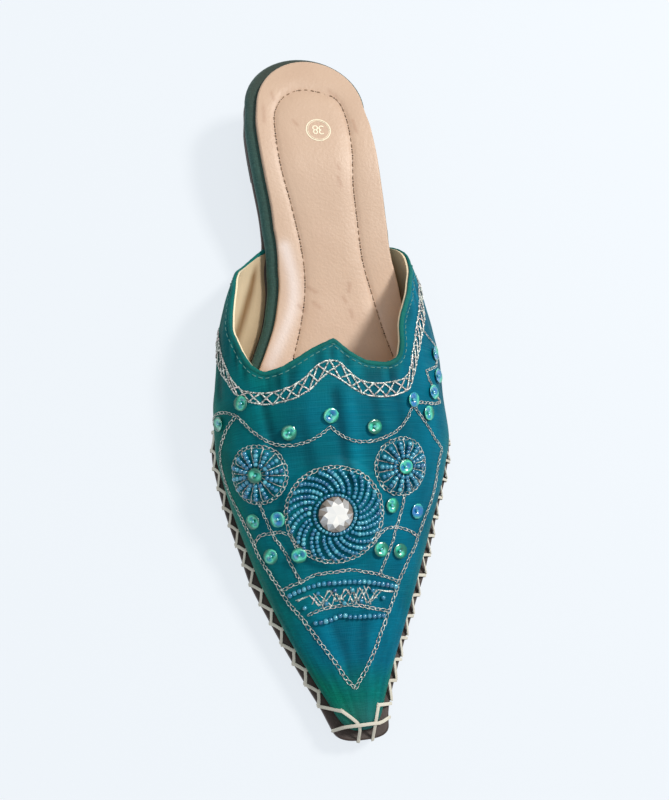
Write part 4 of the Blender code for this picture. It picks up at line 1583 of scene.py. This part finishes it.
braid = dashes(LATTICE_TOP + LATTICE_LOW, 3.3, 0.93, 0.27, 1.1, 5, 14)
braid += [crossing_strands(top, low, 4.6, 0.23) for top, low in zip(LATTICE_TOP, LATTICE_LOW)]
add_small("lattice_braid", braid, yarn, "upper")

# %% [markdown]
# ## Chain stitch
#
# Every other line is chain stitch: each loop comes up inside the one before, so that one link is a
# small teardrop, narrow where it starts and wide where the next one holds it.

# %% Pattern lines, as girth and station in mm
BORDER_INNER = ((-0.458, 151.0), (-0.505, 153.2), (-0.562, 156.5), (-0.617, 161.1), (-0.655, 166.0),
                (-0.652, 173.6), (-0.607, 182.1), (-0.575, 188.5), (-0.565, 194.1), (-0.545, 199.6),
                (-0.508, 204.8), (-0.470, 210.5), (-0.438, 215.6), (-0.380, 220.1), (-0.330, 225.6),
                (-0.275, 231.0), (-0.215, 236.3), (-0.145, 242.2), (-0.057, 245.6))
BORDER_OUTER = ((0.495, 165.3), (0.482, 170.3), (0.490, 176.8), (0.490, 182.5), (0.470, 187.8),
                (0.440, 194.4), (0.417, 200.1), (0.403, 201.6), (0.367, 206.5), (0.333, 211.2),
                (0.320, 215.4), (0.290, 220.3), (0.258, 225.0), (0.222, 230.0), (0.173, 234.7),
                (0.097, 239.7), (-0.057, 245.6))
FINE_CHAINS = (
    ((0.292, 152.0), (0.357, 157.9), (0.423, 162.5), (0.495, 165.3)),
    ((-0.86, 147.9), (-0.74, 147.5), (-0.633, 147.4), (-0.540, 148.4), (-0.458, 150.7)),
    ((-0.458, 150.7), (-0.400, 154.9), (-0.345, 158.9), (-0.280, 162.5), (-0.210, 163.8),
     (-0.140, 163.3), (-0.088, 161.5), (-0.040, 158.9)),
    ((-0.040, 158.9), (-0.005, 161.6), (0.042, 163.7), (0.095, 164.3), (0.150, 163.3), (0.200, 161.1),
     (0.240, 157.9), (0.272, 153.9), (0.298, 150.8)),
    ((0.298, 150.8), (0.340, 150.2), (0.383, 150.1), (0.440, 149.5), (0.490, 148.5)),
    ((0.415, 122.6), (0.472, 125.3), (0.570, 127.3)),
    ((0.570, 127.3), (0.525, 131.2), (0.482, 135.1)), ((0.482, 135.1), (0.435, 136.9), (0.390, 138.2)),
    ((0.390, 138.2), (0.400, 140.2), (0.417, 142.2), (0.455, 145.4), (0.490, 148.5)),
    ((-0.415, 180.5), (-0.405, 184.5), (-0.385, 191.7), (-0.343, 198.4), (-0.312, 204.8), (-0.290, 209.2)),
    ((0.275, 181.4), (0.270, 186.5), (0.255, 192.2), (0.235, 199.0), (0.200, 205.0), (0.180, 209.1)),
    ((-0.552, 194.3), (-0.490, 192.2), (-0.438, 191.7), (-0.338, 191.7), (-0.277, 193.4),
     (-0.260, 196.9), (-0.198, 199.3)),
    ((0.123, 198.5), (0.142, 196.2), (0.167, 194.5), (0.235, 193.0), (0.318, 194.0), (0.433, 196.4)),
    ((-0.448, 210.8), (-0.287, 208.7), (-0.195, 207.1), (-0.098, 206.8), (-0.005, 206.4), (0.088, 207.5),
     (0.180, 208.9), (0.323, 211.5)),
    ((-0.318, 220.0), (-0.213, 218.6), (-0.107, 218.1), (0.002, 218.1), (0.088, 219.1), (0.185, 220.3),
     (0.295, 221.2)),
)
print(f"{2 + len(FINE_CHAINS)} chain lines")

# %% [markdown]
# ## Lines round a rosette
#
# Rings, rows and spokes are simple in the rosette's own plane: a radius and an angle.  They are
# laid on its plane and then brought down to the silk.

# %% Rosette lines
rosette_places = [rosette_frame(station, share) for station, share, _ in ROSETTES]


def rosette_line(number, radius, angle):
    """A line on a rosette: angle counts from the outer side, against the clock, seen from above."""
    centre, axes = rosette_places[number]
    radius, angle = np.broadcast_arrays(np.asarray(radius, float) * MM, angle)
    flat = np.stack([radius * np.cos(angle), -0.96 * radius * np.sin(angle)], -1)
    spots = centre + flat @ axes[:2]
    start = footprint(centre, np.array(0.0), centre[1])
    return footprint(spots, np.full(radius.shape, start[0]), np.full(radius.shape, centre[1]))


print(f"{len(rosette_places)} rosettes have axes of their own")

# %% [markdown]
# ## One link, many times
#
# A link is a closed tube in the shape of a teardrop.  It is stamped along the lines at an even
# pitch, and each one is turned, moved and sized a little by chance.

# %% Chain stitch


def chain(strokes, pitch, width, radius, lift=0.15):
    """Links along strokes: a teardrop of yarn, as wide as sin of the turn times a growing share."""
    turn = np.linspace(0, 2 * np.pi, 10, endpoint=False)
    along = 0.5 - 0.5 * np.cos(turn)
    path = np.stack([(along * 1.2 - 0.6) * pitch, 0.5 * width * np.sin(turn) * (0.45 + 0.75 * along),
                     lift + radius * np.sin(np.pi * along)], -1) * MM
    link, faces = rope(path[None], np.broadcast_to([0.0, 0.0, 1.0], path[None].shape), radius * MM,
                       sides=4, closed=True)
    places, axes = even_places(strokes, pitch)
    axes = turned_axes(axes, 0.28 * (chance.random(len(places)) - 0.5))
    places = places + axes[:, 1] * 0.25 * MM * (chance.random(len(places)) - 0.5)[:, None]
    return stamp(link, faces, places, axes, 0.9 + 0.2 * chance.random(len(places)))


border_lengths = [measured(line)[1][-1] / MM for line in (BORDER_INNER, BORDER_OUTER)]
print("the borders are", " and ".join(f"{length:.0f}" for length in border_lengths), "mm long")

# %% [markdown]
# ## Borders, garlands and the belt
#
# Borders are broad chains and the garlands fine ones.  Rings close the rosettes, and the belt
# before the toe is filled with zigzags in three passes, each a little off the one before.

# %% All chain stitches
circle = np.linspace(0, 2 * np.pi, 49)
rings = [rosette_line(number, np.full(49, radius), circle)
         for number, radius in ((0, 17.0), (1, 10.3), (2, 10.3))]
chains = [chain([BORDER_INNER, BORDER_OUTER], 2.1, 1.45, 0.13), chain(FINE_CHAINS, 2.1, 1.05, 0.12),
          chain(rings, 2.0, 1.4, 0.13)]
BELT_ZIGZAG = ((-0.375, 214.8), (-0.260, 213.7), (-0.208, 217.4), (-0.132, 212.6), (-0.093, 216.5),
               (-0.030, 212.7), (0.010, 217.3), (0.052, 212.7), (0.107, 218.0), (0.173, 213.8),
               (0.305, 214.9))
zigzag = [BELT_ZIGZAG[i:i + 2] for i in range(len(BELT_ZIGZAG) - 1)]
belt_middle = 215.2
mirrored = [((a, 2 * belt_middle - s), (b, 2 * belt_middle - t)) for (a, s), (b, t) in zigzag[1:-1]]
mirrored += [((a + 0.028, s - 0.5), (b + 0.022, t + 0.6)) for (a, s), (b, t) in zigzag[1:-1]]
chains += dashes(zigzag + mirrored + [((a + 0.012, s + 0.4), (b - 0.01, t)) for (a, s), (b, t) in zigzag],
                 2.2, 1.05, 0.17, 1.0, 5, 14)
add_small("chain_stitches", chains, yarn, "upper")

# %% [markdown]
# ## Beads
#
# Glass beads are threaded in rows, so the hole of each one points along its row.  The large rosette
# has 27 swirled rows round the stone, the small ones have short straight rows between thread spokes.

# %% Bead rows, with the profile as shares of a bead's size
BEAD_PROFILE = ((0.2, -0.45), (0.38, -0.36), (0.5, -0.13), (0.5, 0.13), (0.38, 0.36), (0.2, 0.45))
bead, bead_faces = turned(BEAD_PROFILE, 10)


def bead_row(strokes, pitch, size, lift=0.45):
    """Beads threaded along strokes with their holes in line."""
    places, axes = even_places(strokes, pitch, size * lift * MM)
    sizes = size * MM * (0.92 + 0.14 * chance.random(len(places)))
    places = places + axes[:, 1] * 0.12 * MM * (chance.random(len(places)) - 0.5)[:, None]
    return stamp(bead, bead_faces, places, axes[:, [1, 2, 0]], sizes)


swirl, swirl_rows = np.linspace(0, 1, 9), 27
rows = []
for number in range(swirl_rows):
    start = 2 * np.pi * number / swirl_rows + 0.05 * (chance.random() - 0.5)
    rows.append(rosette_line(0, 8.2 + 8.1 * swirl, start + math.radians(29) * swirl ** 1.25))
beads = [bead_row(rows, 1.36, 1.55)]
beads.append(bead_row([rosette_line(0, np.full(49, 7.0), circle)], 1.25, 1.3, 0.9))
small_rows = 14
row_angles = np.linspace(0, 2 * np.pi, small_rows, endpoint=False)
spokes = []
for small in (1, 2):
    arms = [rosette_line(small, np.linspace(3.2, 9.3, 5), angle + 0.08 * chance.random())
            for angle in row_angles]
    beads.append(bead_row(arms, 1.5, 1.7))
    spokes += [rosette_line(small, np.linspace(2.0, 10.0, 5), angle)
               for angle in row_angles + np.pi / small_rows + 0.04]
print(f"{len(rows)} rows round the stone, a bead has {len(bead)} points")

# %% [markdown]
# ## Belt and single beads
#
# Two rows of larger beads edge the belt, and single ones sit in the zigzag.  The single ones lie
# any way round, so their axes are turned by chance.

# %% Belt beads and all beads, as girth and station in mm
BELT_BEADS = ((-0.417, 213.0), (-0.307, 211.5), (-0.190, 210.2), (-0.057, 210.2), (0.060, 210.6),
              (0.177, 211.7), (0.318, 213.2))
BELT_BOTTOM = ((-0.292, 222.7), (-0.170, 222.4), (-0.078, 221.2), (-0.012, 222.0), (0.078, 222.2),
               (0.177, 222.4), (0.248, 222.4))
beads.append(bead_row([BELT_BEADS, BELT_BOTTOM], 1.75, 1.8))
SINGLE_BEADS = ((-0.318, 217.4), (-0.203, 213.1), (-0.165, 216.8), (-0.098, 212.7), (-0.052, 217.2),
                (0.005, 213.1), (0.058, 217.0), (0.133, 213.8), (0.213, 216.5))
lone_places, lone_normals = pattern_point(np.array(SINGLE_BEADS), 0.7 * MM)
single_count, any_turn = len(SINGLE_BEADS), 6.3  # any_turn is a little over a full one in radians


def axes_on(normals, angle):
    """Axes whose third one is the normal, turned by an angle."""
    side = unit(np.cross(normals, [0.0, 1.0, 0.0]))
    return turned_axes(np.stack([side, np.cross(normals, side), normals], 1), angle)


lone_axes = axes_on(lone_normals, chance.random(single_count) * any_turn)
lone_sizes = np.full(single_count, 1.6 * MM)
beads.append(stamp(bead, bead_faces, lone_places, lone_axes[:, [1, 2, 0]], lone_sizes))
bead_count = sum(len(points) for points, _ in beads) // len(bead)
bead_tints = np.clip(chance.normal(0.48, 0.20, bead_count), 0, 1)
add_small("beads", beads, bead_glass, "upper", tints=bead_tints)
add_small("rosette_spokes", dashes(spokes, 4.0, 1.0, 0.17, 1.0, 5, 3), yarn, "upper")
print(f"{bead_count} beads")

# %% [markdown]
# ## The shape of a sequin
#
# A sequin is a cupped disc with a hole and faint facets at its rim.  A profile of six rings, closed
# on itself, gives a thin body with both faces.

# %% Sequin
SEQUINS = (  # girth, station in mm, tint from green at 0 over pale to blue at 1
    (-0.420, 147.3, 0.25), (-0.205, 159.7, 0.20), (-0.037, 155.3, 0.55), (0.117, 159.4, 0.10),
    (0.290, 149.8, 0.75), (0.427, 145.6, 0.70), (0.370, 153.7, 0.40), (0.492, 138.6, 0.80),
    (0.482, 130.3, 0.75), (-0.597, 151.5, 0.30), (-0.488, 186.7, 0.25), (-0.323, 187.2, 0.60),
    (-0.440, 199.1, 0.35), (-0.257, 199.7, 0.45), (0.170, 200.3, 0.15), (0.295, 201.2, 0.00),
    (0.208, 185.7, 0.20), (0.370, 187.6, 0.95),
)
SEQUIN_PROFILE = (  # radius, height, corners drawn in: over the front and back along the reverse
    (0.13, 0.06, 0), (0.55, 0.09, 1), (1.0, 0.30, 1), (1.0, 0.25, 1), (0.55, 0.04, 1), (0.13, 0.0, 0),
)
sequin_radius, sequin_sides = 2.75 * MM, 12
around = np.linspace(0, 2 * np.pi, sequin_sides, endpoint=False)
facet = 0.025 * (np.arange(sequin_sides) % 2)
sequin = np.concatenate([
    np.stack([radius * np.cos(around) * (1 - drawn_in * facet),
              radius * np.sin(around) * (1 - drawn_in * facet), np.full(sequin_sides, height)], -1)
    for radius, height, drawn_in in SEQUIN_PROFILE])
sequin_faces = [squares(len(SEQUIN_PROFILE), sequin_sides, True, True)]
print(f"a sequin has {len(sequin)} points")

# %% [markdown]
# ## Sequins on the silk
#
# Each sequin is held by one small bead and leans a little.  Beside the big rosette's pad it lies
# higher, on the rim of the pad.  Its colour carries painted light, kept as a tint at every point:
# the face, the rim and two crescents round the disc are moved along its colours, as painted glints
# and a painted dark ring.

# %% Sequins and their beads
spots = np.concatenate([np.array(SEQUINS)[:, :2], [rosette_line(number, 0.0, 0.0) for number in (1, 2)]])
spot_places, spot_normals = pattern_point(spots, 0.15 * MM)
spot_places[-2:] += spot_normals[-2:] * 0.9 * MM
lean = unit(spot_normals + 0.22 * (chance.random((len(spots), 3)) - 0.5))
spot_axes = axes_on(lean, chance.random(len(spots)) * any_turn)
ways_out = (np.cos(around)[:, None] * spot_axes[:, None, 0]
            + np.sin(around)[:, None] * spot_axes[:, None, 1])
rims = spot_places[:, None] + 2.3 * MM * ways_out
rim_relief = relief(rims, spots[:, :1], spots[:, 1:] * MM)
middle_relief = relief(rims.mean(1), spots[:, 0], spots[:, 1] * MM)
pad_rise = np.clip((rim_relief - middle_relief[:, None]).max(1), 0, 1)
spot_places[:-2] += spot_normals[:-2] * 0.8 * pad_rise[:-2, None]
sequin_tints = np.append(np.array(SEQUINS)[:, 2], [0.05, 0.5])
# Painted light on each sequin: face and rim moved along the colours, and two crescents of glint
painted_sequin_light = sequin_tints[:, None, None] + np.array([0.1, 0.25, -0.28, -0.28, 0.0, 0.0])[:, None]
painted_sequin_light = painted_sequin_light + 0.26 * np.sin(2 * around + any_turn * chance.random((len(spots), 1, 1)))
all_sequins = stamp(sequin, sequin_faces, spot_places, spot_axes, np.full(len(spots), sequin_radius))
add_small("sequins", [all_sequins], sequin_pearl, "upper", tints=painted_sequin_light.ravel(), flat=True)
on_top = spot_places + lean * 0.5 * MM
top_beads = stamp(bead, bead_faces, on_top, spot_axes, np.full(len(spots), 1.0 * MM))
add_small("sequin_beads", [top_beads], bead_glass, "upper", tints=np.full(len(spots), 0.95))

# %% [markdown]
# ## Whipped lace
#
# A flat cream lace holds the upper to the sole.  From every hole low in the upper it goes straight
# out over the sole's edge, and from the same hole slantwise to the edge again.

# %% One length of lace


def sole_edge(station, side, out, up):
    """A place by the side face of the outsole: out from it, and up from its underside."""
    station = np.asarray(station, float) * MM
    x = middle(station) + side * (outsole_half(station) + out * MM)
    return np.stack([x, station, sole_height(station) + up * MM], -1)


def lace_path(hole_girth, hole_station, edge_station, side):
    """From inside the hole over the sole's top edge and into the middle of its side face."""
    inside, normal = silk_point(hole_girth, hole_station * MM, -0.6 * MM)
    out_of_hole = inside + normal * 1.15 * MM
    over = sole_edge(edge_station, side, 0.30, 3.65)
    halfway = (out_of_hole * 0.45 + over * 0.55) + [0, 0, 0.35 * MM]
    down = sole_edge(edge_station, side, 0.62, 2.9)
    end = sole_edge(edge_station, side, 0.45, 1.9)
    tucked = sole_edge(edge_station, side, -0.5, 1.5)
    return catmull_rom([inside, out_of_hole, halfway, over, down, end, tucked], 5)


print("one length of lace has", len(lace_path(0.9, 150.0, 151.0, 1)), "steps")

# %% [markdown]
# ## Lace along both sides
#
# On both sides the holes stand at an even pitch.  Two lengths of lace leave each hole, one almost
# straight and one slanting, and hands are never quite even, so every end is moved by chance.

# %% Side laces
hole_count, hole_pitch = 14, 7.25
laces = []
for side, first, straight, slant in ((-1, 150.8, -2.3, 4.6), (1, 150.3, 0.4, 6.5)):
    for step in np.arange(hole_count) * hole_pitch:
        jitter = 0.5 * (chance.random(3) - 0.5)
        station = first + step + jitter[0]
        girth = side * (0.90 - 0.03 * rising(station, 190, 60))
        for ahead, shake in ((straight, jitter[1]), (slant, jitter[2])):
            laces.append(lace_path(girth, station, station + ahead + shake, side))
print(f"{len(laces)} lengths on the sides")

# %% [markdown]
# ## Lace round the tip
#
# At the tip there is no room for holes.  From the last hole on each side one length goes over the
# rounded front, and another bridges the toe from edge to edge.

# %% Tip laces
tip_inner = silk_point(-0.40, 252.4 * MM, 0.35 * MM)[0]
tip_outer = silk_point(0.34, 251.9 * MM, 0.35 * MM)[0]
laces.append(lace_path(-0.40, 252.4, 250.4, -1))
laces.append(lace_path(0.34, 251.9, 252.3, 1))


def front_lace(start, girth, front_x):
    """From a last hole over the rounded front of the upper and down the front of the sole."""
    over = silk_point(girth, 257.2 * MM, 0.5 * MM)[0]
    down = [np.array([front_x * MM, station * MM, sole_height(below * MM) + up * MM])
            for station, below, up in ((262.2, 262.2, 3.7), (263.45, 263, 2.2), (262.4, 263, 1.4))]
    return catmull_rom([start - [0, 0, 0.9 * MM], start, over, *down], 6)


laces.append(front_lace(tip_inner, -0.15, -2.3))
laces.append(front_lace(tip_outer, 0.35, 2.9))
bridge = [sole_edge(station, -1, out, up)
          for station, out, up in ((258.8, -1.2, 1.6), (258.8, 0.2, 2.6), (258.6, -0.6, 3.7))]
bridge += [silk_point(girth, 257.2 * MM, 0.95 * MM)[0] for girth in (-0.6, -0.2, 0.2, 0.6)]
bridge += [sole_edge(256.8, 1, out, up) for out, up in ((-0.2, 3.7), (0.55, 2.6), (-0.4, 1.6))]
laces.append(catmull_rom(bridge, 4))
print(f"{len(laces)} lengths with those round the tip")

# %% [markdown]
# ## The ribbons
#
# The lace is a flat ribbon.  Its face must look out of the shoe all the way, so the direction away
# from a point inside the sole serves as up.

# %% Ribbons
lace_half_width, lace_half_thickness, heart_depth = 0.60 * MM, 0.24 * MM, 12 * MM


def flat_lace(path):
    """A ribbon along one path; it lies flat on what is below, so its face looks out of the shoe."""
    steps = len(path)
    heart = np.column_stack([middle(path[:, 1]), np.full((steps, 2), [path[:, 1].mean(), -heart_depth])])
    ups = unit(path - heart) + [0, 0, 0.25]
    return rope(path[None], ups[None], lace_half_width, lace_half_thickness, 8)


points, faces = joined([flat_lace(path) for path in laces])
add_piece("whipped_lace", points, faces, lace_cotton, "upper", worn=np.zeros(len(points)))

# %% [markdown]
# ## Stitches of the sock
#
# A line of brown stitches runs round the heel of the sock in its groove, each between two needle
# holes.  The oval's length is divided by the pitch, so that the last stitch ends at the edge.

# %% Sock stitches
sock_pitch, stitch_length = 2.6 * MM, 1.75 * MM
oval_length = lengths_along(oval)
count = int(oval_length[-1] / sock_pitch)
starts = np.arange(count)[:, None] * oval_length[-1] / count
found = at_length(oval, oval_length, starts + np.linspace(0, stitch_length, 6))


def sock_top(found, lift):
    """Places on the sock from across and station, lifted above its shaped top."""
    x, station = found[..., 0], found[..., 1]
    z = sole_height(station) + sock_high + sock_shape(x, station) + lift
    return np.stack([x, station, z], -1)


def sock_rope(path, half_width, half_height, sides):
    """Thread or print that lies on the sock."""
    return rope(path, np.broadcast_to([0.0, 0.0, 1.0], path.shape), half_width, half_height, sides)


arch = np.array([-0.25, 0.12, 0.2, 0.2, 0.12, -0.25]) * MM
stitches = sock_rope(sock_top(found, arch), 0.24 * MM, 0.2 * MM, 5)
add_small("sock_stitches", [stitches], brown_thread, "insole_sock")
print(f"{count} stitches round {oval_length[-1] / MM:.0f} mm")
# Dark dots at the needle holes: painted shade inside the holes
dot, dot_faces = turned([(0.9, -0.4), (1.0, 0.0), (0.5, 0.15)], 8)
hole_places = sock_top(at_length(oval, oval_length, starts[:, 0] - 0.35 * MM), 0.0)
upright = np.broadcast_to(np.eye(3), (count, 3, 3))
needle_holes = stamp(dot, dot_faces, hole_places, upright, np.full(count, 0.36 * MM))
add_small("sock_holes", [needle_holes], painted_hole_shade, "insole_sock")

# %% [markdown]
# ## The size in its ring
#
# The size number is printed in a double ring.  Letters of a font would lie flat, so the two digits
# are drawn as arcs and laid on the sock's own surface as very thin ribbons.

# %% Size ring


def arc(u, v, radius_u, radius_v, start, end):
    """Part of an ellipse in the print's own plane, angles in degrees."""
    at = np.radians(np.linspace(start, end, 40))
    return np.stack([u + radius_u * np.cos(at), v + radius_v * np.sin(at)], -1)


PRINT_ARCS = (  # middle, two radii, start and end in degrees, half width of the line
    (0, 0, 4.9, 4.5, 0, 360, 0.24), (0, 0, 4.3, 3.95, 0, 360, 0.10),
    (-1.25, 0.82, 0.85, 0.82, 150, -90, 0.27), (-1.25, -0.85, 0.95, 0.85, 90, -150, 0.27),
    (1.25, 0.80, 0.78, 0.80, 90, 450, 0.27), (1.25, -0.87, 0.95, 0.87, 90, 450, 0.27),
)
ring_across, ring_station = 2.8, 34.0
prints = []
for *ellipse, width in PRINT_ARCS:
    stroke = arc(*ellipse)
    on_sock = np.stack([ring_across - stroke[:, 0], ring_station + stroke[:, 1]], -1) * MM
    prints.append(sock_rope(sock_top(on_sock, 0.06 * MM)[None], width * MM, 0.05 * MM, 6))
add_small("size_ring", prints, gold_print, "insole_sock")

# %% [markdown]
# ## Sizes at the end
#
# The sizes of the dressed model and of the CAD box are printed side by side.

# %% Sizes
visual_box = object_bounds()
for name, box in (("CAD", cad_box), ("visual", visual_box)):
    print(name, "size in mm:", [round((high - low) / MM, 1) for low, high in zip(*box)])
